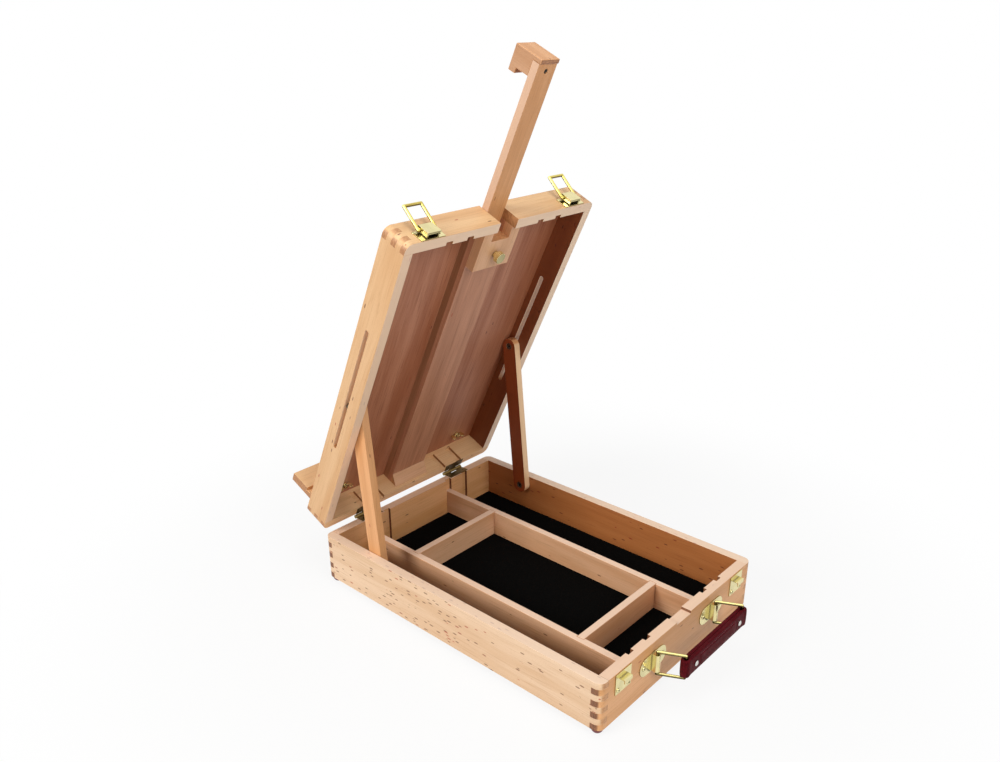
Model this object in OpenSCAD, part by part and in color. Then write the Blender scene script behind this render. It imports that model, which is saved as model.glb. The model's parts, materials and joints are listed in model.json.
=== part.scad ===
// Table box easel of beech: a divided paint tray, and a lid that opens into a small easel.
// Millimetres. +Z is up, the handle is at -Y, the hinges are at +Y, and the feet stand on z = 0.

/* [Box] */
// Width of the closed box
box_w = 270; // [220:1:400]
// Length of the closed box, from handle side to hinge side
box_l = 384; // [350:1:500]
// Height of the tray's walls
tray_h = 52.6; // [48:0.2:80]
// Height of the lid's walls
lid_h = 31.4; // [28:0.2:40]
// Thickness of the tray's and the lid's walls
wall_t = 11; // [9:0.5:14]
// Radius of the rounded upright corners
corner_r = 8; // [4:0.5:9]
// Finger layers in each corner joint of the tray
tray_layers = 8; // [4:2:12]
// Finger layers in each corner joint of the lid
lid_layers = 5; // [3:1:8]

/* [Floor and feet] */
// Thickness of the thin boards in the tray's floor and the lid
board_t = 4; // [3:0.5:6]
// How far the thin boards reach into the walls
board_lap = 3; // [1:0.5:5]
// Height of the floor board above the walls' lower edge
floor_rise = 2; // [1:0.5:5]
// Thickness of the soft lining on the floor
lining_t = 2; // [1:0.5:4]
// Diameter of a dome foot
foot_d = 12; // [8:0.5:16]
// Height of a dome foot
foot_h = 7; // [4:0.5:10]
// Distance of a foot's centre from the box's sides
foot_inset = 8; // [6.5:0.5:20]

/* [Dividers] */
// Thickness of the dividers
divider_t = 8; // [5:0.5:10]
// Height of the dividers
divider_h = 30; // [20:0.5:32]
// Distance of the outer grooves from the middle of the box
outer_groove_x = 79; // [70:1:95]
// Distance of the inner grooves from the middle of the box
inner_groove_x = 51; // [35:1:60]
// Depth of the grooves in the walls
groove_depth = 3.5; // [2:0.5:5]
// Clear length of the back bay between the long dividers
back_bay_l = 72; // [40:1:110]
// Clear length of the front bay between the long dividers
front_bay_l = 52; // [40:1:110]
// Depth of the grooves in the long dividers for the cross dividers' ends
cross_groove = 2.5; // [1.5:0.5:3]

/* [Lid hinge] */
// Opening angle of the lid in the modelled pose
lid_angle = 65; // [40:1:75]
// Gap between the rims of the closed box
lid_gap = 1; // [0.8:0.1:2]
// Distance of the hinge pins behind the back wall
pin_back = 4.5; // [4:0.1:6]
// Length of one butt hinge
hinge_len = 30; // [20:1:50]
// Distance of the hinges from the middle of the box
hinge_x = 72; // [50:1:95]
// Thickness of the hinge leaves
leaf_t = 1.2; // [1:0.1:2]
// How far a leaf reaches onto the rim
leaf_reach = 9; // [7:0.5:10]
// Outer radius of the hinge knuckles
knuckle_r = 2.2; // [2:0.1:3]
// Radius of the hinge pins
hinge_pin_r = 1; // [0.8:0.1:1.2]

/* [Struts] */
// Width of a strut
strut_w = 19; // [14:0.5:20]
// Thickness of a strut
strut_t = 9; // [6:0.5:12]
// Distance between a strut's two pivots
strut_reach = 182; // [170:1:195]
// Distance of the lower pivot from the back wall's outer face
strut_foot_back = 73; // [60:1:90]
// Depth of the lower pivot below the tray's rim
strut_foot_drop = 10.6; // [10:0.2:20]
// Radius of the struts' pivot bolts
bolt_r = 2.4; // [1.5:0.1:3]
// Gap between a strut and the walls
strut_gap = 0.5; // [0.3:0.1:1]
// Start of the lid's long slots, from the hinge side
slot_start = 118; // [80:1:130]
// Length of the lid's long slots
slot_len = 158; // [140:1:180]
// Distance of the slots' middle line from the lid's rim
slot_line = 17; // [15:0.2:18]

/* [Mast] */
// Width of the mast
mast_w = 25; // [16:0.5:30]
// Thickness of the mast
mast_t = 8; // [6:0.5:10]
// Depth of the mast's back below the lid's outer face
mast_sink = 3.5; // [3:0.1:5]
// Length of the mast with its head
mast_len = 365.5; // [300:0.5:366]
// How far the mast's top stands above the lid's top wall
mast_out = 153.5; // [120:0.5:155]
// Width of the mast's head
head_w = 25; // [23:0.5:32]
// Height of the mast's head
head_h = 19.5; // [14:0.5:26]
// Reach of the mast's head, from the mast's front to its far face
head_reach = 31; // [24:0.5:45]
// How far the head's cap stands over the mast's front
head_over = 1.4; // [0:0.1:3]
// Thickness of the head over the mast's end
head_cap = 4.5; // [3:0.5:8]
// Thickness of the head's hook
hook_t = 8; // [5:0.5:12]
// Drop of the head's hook
hook_drop = 5; // [3:0.5:8]
// Depth of the recess for the head in the tray's front wall
recess_depth = 3; // [2:0.5:5]

/* [Mast channel] */
// Width of the rails beside the mast
rail_w = 13; // [10:0.5:20]
// Thickness of the channel's cover board
cover_t = 5.8; // [3:0.2:6]
// Length of the clamp block
clamp_len = 46; // [36:1:60]
// Height of the clamp block above the cover board
clamp_rise = 10.4; // [8:0.2:10.6]
// Depth of the notch in the clamp block's top
notch_len = 13; // [8:0.5:16]
// Length of the sloping block at the channel's foot
slope_len = 12; // [8:0.5:20]
// Thickness of the straps that keep the mast in its channel
strap_t = 1.3; // [1:0.1:2]
// Width of the straps
strap_w = 14; // [10:0.5:20]
// Radius of the clamp screw's shank
clamp_screw_r = 2.5; // [2:0.1:3]
// Radius of the clamp screw's head
clamp_head_r = 6; // [5:0.5:8]

/* [Canvas ledge] */
// Thickness of the ledge
ledge_t = 10; // [8:0.5:14]
// Reach of the ledge behind the lid
ledge_reach = 33; // [20:0.5:45]
// Distance of the ledge's lower face from the lid's hinge side
ledge_start = 22.5; // [20:0.5:40]
// Width of the groove for the canvas
canvas_groove_w = 7; // [4:0.5:12]
// Depth of the groove for the canvas
canvas_groove_h = 4; // [2:0.5:5]
// Distance of the ledge's bolts from the middle
ledge_bolt_x = 92; // [60:1:100]
// Radius of the ledge's bolts
ledge_bolt_r = 2; // [1.5:0.1:3]
// Span of a wing nut from tip to tip
wing_span = 20; // [15:0.5:22]

/* [Latches] */
// Distance of a latch's middle from the box's side
latch_inset = 33; // [28:1:40]
// Width of a latch's base plate
latch_w = 30; // [24:1:34]
// Height of a latch's base plate
latch_h = 14; // [10:0.5:16]
// Thickness of the brass sheet
sheet_t = 1; // [0.8:0.1:1.5]
// Length of a latch's wire loop
bail_len = 26; // [20:0.5:30]
// Width of a latch's wire loop between its middle lines
bail_w = 21; // [16:0.5:22]
// Radius of the loop's wire
bail_r = 1.6; // [1:0.1:1.8]
// Rise of the open loop above the wall
bail_rise = 22; // [15:1:60]
// Width of a catch plate
catch_w = 24; // [18:1:30]
// Height of a catch plate
catch_h = 22; // [16:0.5:26]

/* [Handle] */
// Distance between the handle's two brackets
bracket_span = 106; // [80:1:130]
// Width of a bracket plate
bracket_w = 44; // [34:1:60]
// Height of a bracket plate
bracket_h = 20; // [14:0.5:26]
// Height of the handle's middle line above the walls' lower edge
handle_z = 32; // [20:0.5:36]
// Height of a handle ring between its wires' middle lines
ring_h = 25; // [22:0.5:30]
// Reach of a handle ring between its wires' middle lines
ring_reach = 26; // [20:0.5:40]
// Radius of the rings' wire
ring_r = 1.5; // [1.2:0.1:2.2]
// Sideways swing of the handle in the modelled pose
handle_swing = 27; // [0:1:30]
// Height of the grip
grip_h = 19; // [14:0.5:20]
// Thickness of the grip
grip_t = 10; // [9:0.5:13]

/* [Hidden] */
$fn = 48;
// Clearances between pieces
running_gap = 0.05;
slide_gap = 0.1;
loose_gap = 0.2;
head_gap = 0.3;
// Small fasteners
screw_head_r = 2.4;
screw_head_h = 1.3;
screw_r = 1.2;
screw_len = 7;
slot_cut = 0.6;
flush_head_h = 0.8;
low_head_r = 2.1;
low_head_top_r = 1.5;
low_head_h = 0.7;
// Distance of a screw's middle from the edge of its plate
plate_screw_edge = 4;
bracket_screw_edge = 6;
strap_screw_edge = 5;
bolt_head_r = 4;
bolt_head_h = 2;
socket_r = 1.5;
// Wood left behind a bush or in front of a bolt's end
bush_stop = 3;
bush_t = 2;
// Height cut off a dome foot's tip
foot_flat = 0.7;
// Wood left between a groove's end and the lid's board
groove_stop = 4;
// Allowance that cutting shapes reach past a face
cut = 1;

// Places of the box
inner_w = box_w - 2 * wall_t;
inner_l = box_l - 2 * wall_t;
back_cross_y = inner_l / 2 - back_bay_l - divider_t / 2;
front_cross_y = inner_l / 2 - front_bay_l - divider_t / 2;
half_w = box_w / 2;
half_l = box_l / 2;
rim_z = foot_h + tray_h;
floor_z = foot_h + floor_rise;
lining_z = floor_z + board_t;
divider_z = lining_z + lining_t;
handle_mid_z = foot_h + handle_z;
hinge_y = half_l + pin_back;
hinge_z = rim_z + lid_gap / 2;

// The lid's own directions: s runs along the lid from the hinge side, d from its rim outwards
function lid_y(s) = -pin_back - s;
function lid_z(d) = lid_gap / 2 + d;
function turned(y, z, a) = [hinge_y + y * cos(a) + z * sin(a), hinge_z - y * sin(a) + z * cos(a)];
function lid_point(s, d) = turned(lid_y(s), lid_z(d), lid_angle);

// Mast and channel, measured from the lid's rim outwards
mast_back_d = lid_h - mast_sink;
strap_d = mast_back_d + slide_gap;
mast_front_d = mast_back_d - mast_t;
channel_d = mast_front_d - slide_gap;
cover_d = channel_d - cover_t;
clamp_d = cover_d - clamp_rise;
throat_w = max(head_w, mast_w) + 2 * loose_gap;
channel_w = throat_w + 2 * rail_w;
clamp_top_s = box_l - wall_t;
clamp_low_s = clamp_top_s - clamp_len;
notch_s = clamp_top_s - notch_len;
clamp_screw_s = (clamp_low_s + notch_s) / 2;
head_screw_grip = 9;
head_screw_rise = 8;
head_screw_sink = 0.8;
head_screw_len = mast_t + head_screw_grip;
mast_top_s = box_l + mast_out;
mast_end_s = mast_top_s - head_cap;
mast_low_s = mast_top_s - mast_len;
head_low_s = mast_top_s - head_h;
head_far_d = mast_front_d + head_reach;
strap_inset = 10;
strap_edge = 2;
strap_s = [mast_low_s + strap_w + strap_inset, clamp_low_s - strap_inset];
strap_len = channel_w - 2 * strap_edge;

// The part of a hinge leaf that stands above its rim
leaf_top = lid_gap / 2 - slide_gap / 2;

// Strut linkage at the modelled lid angle
foot_y = half_l - strut_foot_back;
foot_z = rim_z - strut_foot_drop;
link_base = norm([pin_back + strut_foot_back, lid_gap / 2 + strut_foot_drop]);
link_tilt = atan2(lid_gap / 2 + strut_foot_drop, pin_back + strut_foot_back);
link_off = link_base * sin(lid_angle + link_tilt) + lid_z(slot_line);
link_along = link_base * cos(lid_angle + link_tilt) + sqrt(strut_reach * strut_reach - link_off * link_off);
strut_top_s = link_along - pin_back;
strut_top = lid_point(strut_top_s, slot_line);
strut_lean = atan2(strut_top[1] - foot_z, strut_top[0] - foot_y);
strut_x = half_w - wall_t - strut_gap - strut_t;
slot_r = bolt_r + loose_gap;
bolt_end_x = half_w - bush_stop;
bush_r = bolt_r + bush_t;

// Canvas ledge
ledge_end_d = lid_h + ledge_reach;
ledge_bolt_s = ledge_start + ledge_t / 2;
board_low_d = lid_h - board_t;
canvas_groove_gap = 1;
bolt_depth = 18;
bolt_tail = 3;
nut_t = 3.2;
nut_r = 3.6;
wing_h = 8;
wing_t = 1.4;
wing_r = 3;
wing_neck = 3.4;
wing_lap = 1.2;
wing_lift = 0.6;

// Clamp screw
clamp_collar_r = 3.7;
clamp_collar_h = 4;
clamp_head_h = 5;
knurl_count = 20;
knurl_r = 0.6;
knurl_out = 0.25;

// Latches, measured from the lid's top wall
latch_x = half_w - latch_inset;
latch_plate_d = 0.5;
lever_pivot_d = 3.6;
lever_pivot_out = 3.8;
lever_pin_r = 0.9;
bail_pivot_d = 11.4;
bail_pivot_out = 3.8;
lever_side_gap = 0.5;
lever_w = bail_w - 2 * bail_r - 2 * lever_side_gap;
lever_len = bail_pivot_d - lever_pivot_d;
loop_pin_extra = 0.5;
lever_r = 1.9;
lever_tail = 6;
lever_lap = 0.4;
ear_r = 1.4;
ear_x = lever_w / 2 - 1.5 * sheet_t - loose_gap;
catch_drop = 1.2;
catch_z = rim_z - catch_h - catch_drop;
lip_w = 12;
lip_h = 4;
lip_drop = 6.8;
lip_room = 1.4;

// Handle
bracket_out = 5.2;
rivet_inset = 12;
rivet_x = bracket_span / 2 - rivet_inset;
rivet_r = 3;
rivet_shank_r = 1.5;
rivet_head_h = 0.8;
rivet_depth = 2;
tunnel_t = 1.5;
tunnel_gap = 1.5;
tunnel_r = ring_r + tunnel_t;
tunnel_h = ring_h - 2 * ring_r - 2 * tunnel_gap;
pivot_y = -half_l - bracket_out;
grip_y = pivot_y - ring_reach * cos(handle_swing);
grip_shift = ring_reach * sin(handle_swing);

// The origin is at the middle of the bounding box's base
back_reach = lid_point(ledge_start, ledge_end_d)[0];
front_reach = grip_y - grip_t / 2;
origin_y = (back_reach + front_reach) / 2;

beech = "burlywood";
plywood = "sienna";
brass = "gold";

// Shifts the tray from its own middle to the part's origin
module in_part() {
    translate([0, -origin_y, 0]) children();
}

// Turns a piece of the closed lid to its open place
module in_lid() {
    in_part() translate([0, hinge_y, hinge_z]) rotate([-lid_angle, 0, 0]) children();
}

// A box in the lid's own directions
module lid_box(x0, x1, s0, s1, d0, d1) {
    translate([x0, lid_y(s1), lid_z(d0)]) cube([x1 - x0, s1 - s0, d1 - d0]);
}

// A rod through the lid, along d
module lid_rod(x, s, d0, d1, r) {
    translate([x, lid_y(s), lid_z(d0)]) cylinder(h = d1 - d0, r = r);
}

module rounded_plate(w, l, h, r) {
    linear_extrude(h) {
        square([w - 2 * r, l], center = true);
        square([w, l - 2 * r], center = true);
        for (x = [-1, 1], y = [-1, 1])
            translate([x * (w / 2 - r), y * (l / 2 - r)]) circle(r);
    }
}

// One finger layer's blocks at the two ends of a wall that runs along X or Y
module finger_layers(h, layers, parity, along_x, side) {
    step = h / layers;
    for (i = [parity : 2 : layers - 1], end = [-1, 1]) {
        x = along_x ? end : side;
        y = along_x ? side : end;
        translate([x * (half_w - wall_t / 2), y * (half_l - wall_t / 2), (i + 0.5) * step])
            cube([wall_t, wall_t, step], center = true);
    }
}

// Front wall (side -1) or back wall (side 1) of a finger jointed frame
module cross_wall(h, layers, side) {
    intersection() {
        rounded_plate(box_w, box_l, h, corner_r);
        union() {
            translate([-inner_w / 2, side * (half_l - wall_t / 2) - wall_t / 2, 0])
                cube([inner_w, wall_t, h]);
            finger_layers(h, layers, 0, true, side);
        }
    }
}

// Left wall (side -1) or right wall (side 1) of a finger jointed frame
module side_wall(h, layers, side) {
    intersection() {
        rounded_plate(box_w, box_l, h, corner_r);
        union() {
            translate([side * (half_w - wall_t / 2) - wall_t / 2, -inner_l / 2, 0])
                cube([wall_t, inner_l, h]);
            finger_layers(h, layers, 1, false, side);
        }
    }
}

// The four divider grooves in the inner face of a front or back wall
module divider_grooves(side, z0, z1) {
    for (x = [-outer_groove_x, -inner_groove_x, inner_groove_x, outer_groove_x])
        translate([x - divider_t / 2 - loose_gap, side * (inner_l / 2 + groove_depth / 2)
            - groove_depth / 2 - (side > 0 ? cut : 0), z0])
            cube([divider_t + 2 * loose_gap, groove_depth + cut, z1 - z0]);
}

// Screw with a slotted round head above z = 0 and its shank below
module screw(shank = screw_len) {
    difference() {
        union() {
            cylinder(h = screw_head_h * 0.6, r = screw_head_r);
            translate([0, 0, screw_head_h * 0.6])
                cylinder(h = screw_head_h * 0.4, r1 = screw_head_r, r2 = screw_head_r * 0.6);
            translate([0, 0, -shank]) cylinder(h = shank + slot_cut, r = screw_r);
        }
        translate([-screw_head_r, -slot_cut / 2, screw_head_h - slot_cut])
            cube([2 * screw_head_r, slot_cut, slot_cut + cut]);
    }
}

// Countersunk screw whose slotted flat head ends at z = 0
module flush_screw(shank = screw_len) {
    difference() {
        union() {
            translate([0, 0, -flush_head_h]) cylinder(h = flush_head_h, r = screw_head_r);
            translate([0, 0, -shank]) cylinder(h = shank, r = screw_r);
        }
        translate([-screw_head_r, -slot_cut / 2, -slot_cut / 2])
            cube([2 * screw_head_r, slot_cut, slot_cut + cut]);
    }
}

// Hole for a screw, with room for a flush head where asked
module screw_hole(shank = screw_len, flush = false) {
    translate([0, 0, -shank]) cylinder(h = shank + cut, r = screw_r);
    if (flush) translate([0, 0, -flush_head_h]) cylinder(h = flush_head_h + cut, r = screw_head_r);
}

// Places of the small screws
module at_tray_hinge_screws() {
    for (x = [-1, 1], side = [-1, 1])
        translate([x * hinge_x + side * hinge_len / 3, half_l - leaf_reach / 2, rim_z + leaf_top])
            children();
}

module at_lid_hinge_screws() {
    for (x = [-1, 1], side = [-1, 1])
        translate([x * hinge_x + side * hinge_len / 3, lid_y(leaf_reach / 2), lid_z(-leaf_top)])
            rotate([180, 0, 0]) children();
}

module at_catch_screws() {
    for (x = [-1, 1], side = [-1, 1])
        translate([x * latch_x + side * (catch_w / 2 - plate_screw_edge), -half_l - sheet_t,
            catch_z + plate_screw_edge])
            rotate([90, 0, 0]) children();
}

module at_bracket_screws() {
    for (x = [-1, 1], side = [-1, 1])
        translate([x * bracket_span / 2 + side * (bracket_w / 2 - bracket_screw_edge), -half_l - sheet_t,
            handle_mid_z])
            rotate([90, 0, 0]) children();
}

module at_latch_screws() {
    for (x = [-1, 1], side = [-1, 1])
        translate([x * latch_x + side * (lever_w / 2 - plate_screw_edge), lid_y(box_l + sheet_t),
            lid_z(latch_plate_d + latch_h / 2)])
            rotate([90, 0, 0]) children();
}

module at_strap_screws() {
    for (s = strap_s, side = [-1, 1])
        translate([side * (strap_len / 2 - strap_screw_edge), lid_y(s), lid_z(strap_d + strap_t)])
            children();
}

// Shapes cut from the walls for the hinge leaves
module leaf_seats(y0, z0, h) {
    for (x = [-1, 1])
        translate([x * hinge_x - hinge_len / 2, y0, z0]) cube([hinge_len, leaf_reach + cut, h]);
}

// Tray walls
module tray_wall_cuts() {
    translate([-inner_w / 2 - board_lap, -inner_l / 2 - board_lap, floor_z - foot_h])
        cube([inner_w + 2 * board_lap, inner_l + 2 * board_lap, board_t]);
}

module tray_front_wall() {
    color(beech) in_part() difference() {
        translate([0, 0, foot_h]) difference() {
            cross_wall(tray_h, tray_layers, -1);
            tray_wall_cuts();
            divider_grooves(-1, divider_z - foot_h, tray_h + cut);
        }
        translate([-throat_w / 2, -half_l - cut, rim_z - recess_depth])
            cube([throat_w, wall_t + 2 * cut, recess_depth + cut]);
        at_catch_screws() screw_hole();
        at_bracket_screws() screw_hole();
    }
}

module tray_back_wall() {
    color(beech) in_part() difference() {
        translate([0, 0, foot_h]) difference() {
            cross_wall(tray_h, tray_layers, 1);
            tray_wall_cuts();
            divider_grooves(1, divider_z - foot_h, tray_h + cut);
        }
        leaf_seats(half_l - leaf_reach, rim_z + leaf_top - leaf_t, leaf_t + cut);
        at_tray_hinge_screws() screw_hole();
    }
}

module tray_side_wall(side) {
    in_part() difference() {
        translate([0, 0, foot_h]) difference() {
            side_wall(tray_h, tray_layers, side);
            tray_wall_cuts();
        }
        translate([side > 0 ? half_w - wall_t - cut : -half_w + bush_stop, foot_y, foot_z])
            rotate([0, 90, 0]) cylinder(h = wall_t - bush_stop + cut, r = bush_r);
    }
}

// Brass bushes for the struts' lower pivots, flush with the inner faces
module strut_bushes() {
    color(brass) in_part() for (side = [-1, 1])
        translate([side > 0 ? half_w - wall_t : -half_w + bush_stop, foot_y, foot_z]) rotate([0, 90, 0])
            difference() {
                cylinder(h = wall_t - bush_stop, r = bush_r);
                translate([0, 0, -cut]) cylinder(h = wall_t - bush_stop + 2 * cut, r = bolt_r);
            }
}

module tray_floor() {
    color(plywood) in_part() translate([-inner_w / 2 - board_lap, -inner_l / 2 - board_lap, floor_z])
        cube([inner_w + 2 * board_lap, inner_l + 2 * board_lap, board_t]);
}

module floor_lining() {
    color("dimgray") in_part() translate([-inner_w / 2 + loose_gap, -inner_l / 2 + loose_gap, lining_z])
        cube([inner_w - 2 * loose_gap, inner_l - 2 * loose_gap, lining_t]);
}

// Long dividers, with upright grooves for the cross dividers' ends
module long_divider(x) {
    reach = inner_l + 2 * groove_depth - 2 * loose_gap;
    groove_x = x < 0 ? divider_t / 2 - cross_groove : -divider_t / 2 - cut;
    in_part() translate([x, 0, divider_z]) difference() {
        translate([-divider_t / 2, -reach / 2, 0]) cube([divider_t, reach, divider_h]);
        for (y = [-front_cross_y, back_cross_y])
            translate([groove_x, y - divider_t / 2 - loose_gap, -cut])
                cube([cross_groove + cut, divider_t + 2 * loose_gap, divider_h + 2 * cut]);
    }
}

module left_divider() {
    color(beech) long_divider(-outer_groove_x);
}

module right_divider() {
    color(beech) long_divider(inner_groove_x);
}

module cross_divider(y) {
    end_in = divider_t / 2 - cross_groove + loose_gap;
    reach = outer_groove_x + inner_groove_x - 2 * end_in;
    in_part() translate([end_in - outer_groove_x, y - divider_t / 2, divider_z])
        cube([reach, divider_t, divider_h]);
}

module back_cross_divider() {
    color(beech) cross_divider(back_cross_y);
}

module front_cross_divider() {
    color(beech) cross_divider(-front_cross_y);
}

// Dome feet with a small flat base
module dome_feet() {
    dome_r = (foot_d * foot_d / 4 + foot_h * foot_h) / (2 * foot_h);
    color("maroon") in_part() for (x = [-1, 1], y = [-1, 1])
        translate([x * (half_w - foot_inset), y * (half_l - foot_inset), 0]) intersection() {
            cylinder(h = foot_h, r = foot_d / 2);
            translate([0, 0, dome_r - foot_flat]) sphere(dome_r, $fn = 64);
        }
}

// Butt hinges: the tray's leaf has the outer knuckles, the lid's leaf the middle one
module knuckle(x0, len) {
    translate([x0, 0, 0]) rotate([0, 90, 0]) cylinder(h = len, r = knuckle_r);
}

module pin_bore() {
    translate([-hinge_len / 2 - cut, 0, 0]) rotate([0, 90, 0])
        cylinder(h = hinge_len + 2 * cut, r = hinge_pin_r + running_gap);
}

module tray_hinge_leaves() {
    third = hinge_len / 3;
    color(brass) in_part() difference() {
        for (x = [-1, 1]) translate([x * hinge_x, hinge_y, hinge_z]) difference() {
            union() {
                knuckle(-hinge_len / 2, third - loose_gap);
                knuckle(hinge_len / 2 - third + loose_gap, third - loose_gap);
                for (x0 = [-hinge_len / 2, hinge_len / 2 - third + loose_gap])
                    translate([x0, -pin_back, -slide_gap / 2 - leaf_t])
                        cube([third - loose_gap, pin_back, leaf_t]);
                translate([-hinge_len / 2, -pin_back - leaf_reach, -slide_gap / 2 - leaf_t])
                    cube([hinge_len, leaf_reach, leaf_t]);
            }
            pin_bore();
        }
        at_tray_hinge_screws() screw_hole(flush = true);
    }
}

module lid_hinge_leaves() {
    third = hinge_len / 3;
    color(brass) in_lid() difference() {
        for (x = [-1, 1]) translate([x * hinge_x, 0, 0]) difference() {
            union() {
                knuckle(-third / 2, third);
                translate([-third / 2, -pin_back, slide_gap / 2]) cube([third, pin_back, leaf_t]);
                translate([-hinge_len / 2, -pin_back - leaf_reach, slide_gap / 2])
                    cube([hinge_len, leaf_reach, leaf_t]);
            }
            pin_bore();
        }
        at_lid_hinge_screws() screw_hole(flush = true);
    }
}

module hinge_pins() {
    color("silver") in_part() for (x = [-1, 1])
        translate([x * hinge_x - hinge_len / 2, hinge_y, hinge_z]) rotate([0, 90, 0])
            cylinder(h = hinge_len, r = hinge_pin_r);
}

module tray_hinge_screws() {
    color(brass) in_part() at_tray_hinge_screws() flush_screw();
}

module lid_hinge_screws() {
    color(brass) in_lid() at_lid_hinge_screws() flush_screw();
}

// Catch plates on the tray's front wall, each with a hooked lip for the latch's loop
module catch_plates() {
    lip_z = catch_z + catch_h - lip_drop;
    lip_out = 2 * bail_r + lip_room;
    color(brass) in_part() difference() {
        for (x = [-1, 1]) translate([x * latch_x, -half_l, 0]) {
            translate([-catch_w / 2, -sheet_t, catch_z]) cube([catch_w, sheet_t, catch_h]);
            translate([-lip_w / 2, -sheet_t - lip_out, lip_z]) cube([lip_w, lip_out, sheet_t]);
            translate([-lip_w / 2, -2 * sheet_t - lip_out, lip_z + sheet_t - lip_h])
                cube([lip_w, sheet_t, lip_h]);
        }
        at_catch_screws() screw_hole();
    }
}

module catch_screws() {
    color(brass) in_part() at_catch_screws() screw();
}

// Oval bracket plates, each with an upright tunnel for its handle ring
module handle_brackets() {
    color(brass) in_part() difference() {
        for (x = [-1, 1]) translate([x * bracket_span / 2, -half_l, handle_mid_z]) difference() {
            union() {
                rotate([90, 0, 0]) linear_extrude(sheet_t) {
                    square([bracket_w - bracket_h, bracket_h], center = true);
                    for (side = [-1, 1])
                        translate([side * (bracket_w - bracket_h) / 2, 0]) circle(bracket_h / 2);
                }
                translate([0, -bracket_out, -tunnel_h / 2]) cylinder(h = tunnel_h, r = tunnel_r);
                translate([-tunnel_r, -bracket_out, -tunnel_h / 2])
                    cube([2 * tunnel_r, bracket_out - sheet_t / 2, tunnel_h]);
            }
            translate([0, -bracket_out, -tunnel_h / 2 - cut])
                cylinder(h = tunnel_h + 2 * cut, r = ring_r + running_gap);
        }
        at_bracket_screws() screw_hole();
    }
}

module bracket_screws() {
    color(brass) in_part() at_bracket_screws() screw();
}

// Wire ring: an upright pivot, two arms and an upright bar for the grip
module handle_ring(x) {
    in_part() translate([x, pivot_y, handle_mid_z]) rotate([0, 0, handle_swing]) {
        for (y = [0, -ring_reach]) translate([0, y, -ring_h / 2]) cylinder(h = ring_h, r = ring_r);
        for (z = [-ring_h / 2, ring_h / 2]) {
            translate([0, 0, z]) rotate([90, 0, 0]) cylinder(h = ring_reach, r = ring_r);
            for (y = [0, -ring_reach]) translate([0, y, z]) sphere(ring_r);
        }
    }
}

module left_handle_ring() {
    color(brass) handle_ring(-bracket_span / 2);
}

module right_handle_ring() {
    color(brass) handle_ring(bracket_span / 2);
}

// Grip: a leather strap rolled round the rings' outer bars at both ends
module handle_grip() {
    color("brown") in_part() translate([grip_shift, grip_y, handle_mid_z - grip_h / 2]) difference() {
        union() {
            for (x = [-1, 1]) translate([x * bracket_span / 2, 0, 0]) cylinder(h = grip_h, r = grip_t / 2);
            translate([-bracket_span / 2, -grip_t / 2, 0]) cube([bracket_span, grip_t, grip_h]);
        }
        translate([-bracket_span / 2, 0, -cut]) cylinder(h = grip_h + 2 * cut, r = ring_r + running_gap);
        translate([bracket_span / 2, 0, -cut]) cylinder(h = grip_h + 2 * cut, r = ring_r + head_gap);
        for (x = [-1, 1], side = [-1, 1])
            translate([x * rivet_x, side * (grip_t / 2 - rivet_depth), grip_h / 2]) rotate([side * -90, 0, 0])
                cylinder(h = rivet_depth + cut, r = rivet_shank_r);
    }
}

module grip_rivets() {
    color("silver") in_part() translate([grip_shift, grip_y, handle_mid_z])
        for (x = [-1, 1], side = [-1, 1])
            translate([x * rivet_x, side * (grip_t / 2 - rivet_depth), 0]) rotate([side * -90, 0, 0]) {
                cylinder(h = rivet_depth + rivet_head_h / 2, r = rivet_shank_r);
                translate([0, 0, rivet_depth]) cylinder(h = rivet_head_h, r1 = rivet_r, r2 = rivet_r * 0.6);
            }
}

// Lid frame, made closed about the lid's own middle
module in_frame() {
    translate([0, lid_y(box_l / 2), lid_z(0)]) children();
}

module lid_board_seat() {
    translate([-inner_w / 2 - board_lap, -inner_l / 2 - board_lap, lid_h - board_t])
        cube([inner_w + 2 * board_lap, inner_l + 2 * board_lap, board_t + cut]);
}

module lid_top_half(side) {
    in_lid() difference() {
        in_frame() difference() {
            cross_wall(lid_h, lid_layers, -1);
            lid_board_seat();
            divider_grooves(-1, -cut, board_low_d - groove_stop);
            translate([side < 0 ? -throat_w / 2 : -half_w - cut, -half_l - cut, -cut])
                cube([half_w + throat_w / 2 + cut, wall_t + 2 * cut, lid_h + 2 * cut]);
        }
        at_latch_screws() screw_hole();
    }
}

module lid_top_left_wall() {
    color(beech) lid_top_half(-1);
}

module lid_top_right_wall() {
    color(beech) lid_top_half(1);
}

module lid_hinge_wall() {
    color(beech) in_lid() difference() {
        in_frame() difference() {
            cross_wall(lid_h, lid_layers, 1);
            lid_board_seat();
            divider_grooves(1, -cut, board_low_d - groove_stop);
        }
        leaf_seats(lid_y(leaf_reach), slide_gap / 2 - cut, leaf_t + cut);
        at_lid_hinge_screws() screw_hole();
    }
}

// Lid side wall with its long slot for the strut's bolt
module lid_side_wall(side) {
    in_lid() difference() {
        in_frame() difference() {
            side_wall(lid_h, lid_layers, side);
            lid_board_seat();
        }
        translate([side * (half_w - wall_t / 2) - wall_t / 2 - cut, 0, lid_z(slot_line)])
            rotate([90, 0, 90]) linear_extrude(wall_t + 2 * cut) {
                for (s = [slot_start + slot_r, slot_start + slot_len - slot_r])
                    translate([lid_y(s), 0]) circle(slot_r);
                translate([lid_y(slot_start + slot_len - slot_r), -slot_r])
                    square([slot_len - 2 * slot_r, 2 * slot_r]);
            }
    }
}

module lid_left_wall() {
    color(beech) lid_side_wall(-1);
}

module lid_right_wall() {
    color(beech) lid_side_wall(1);
}

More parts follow.
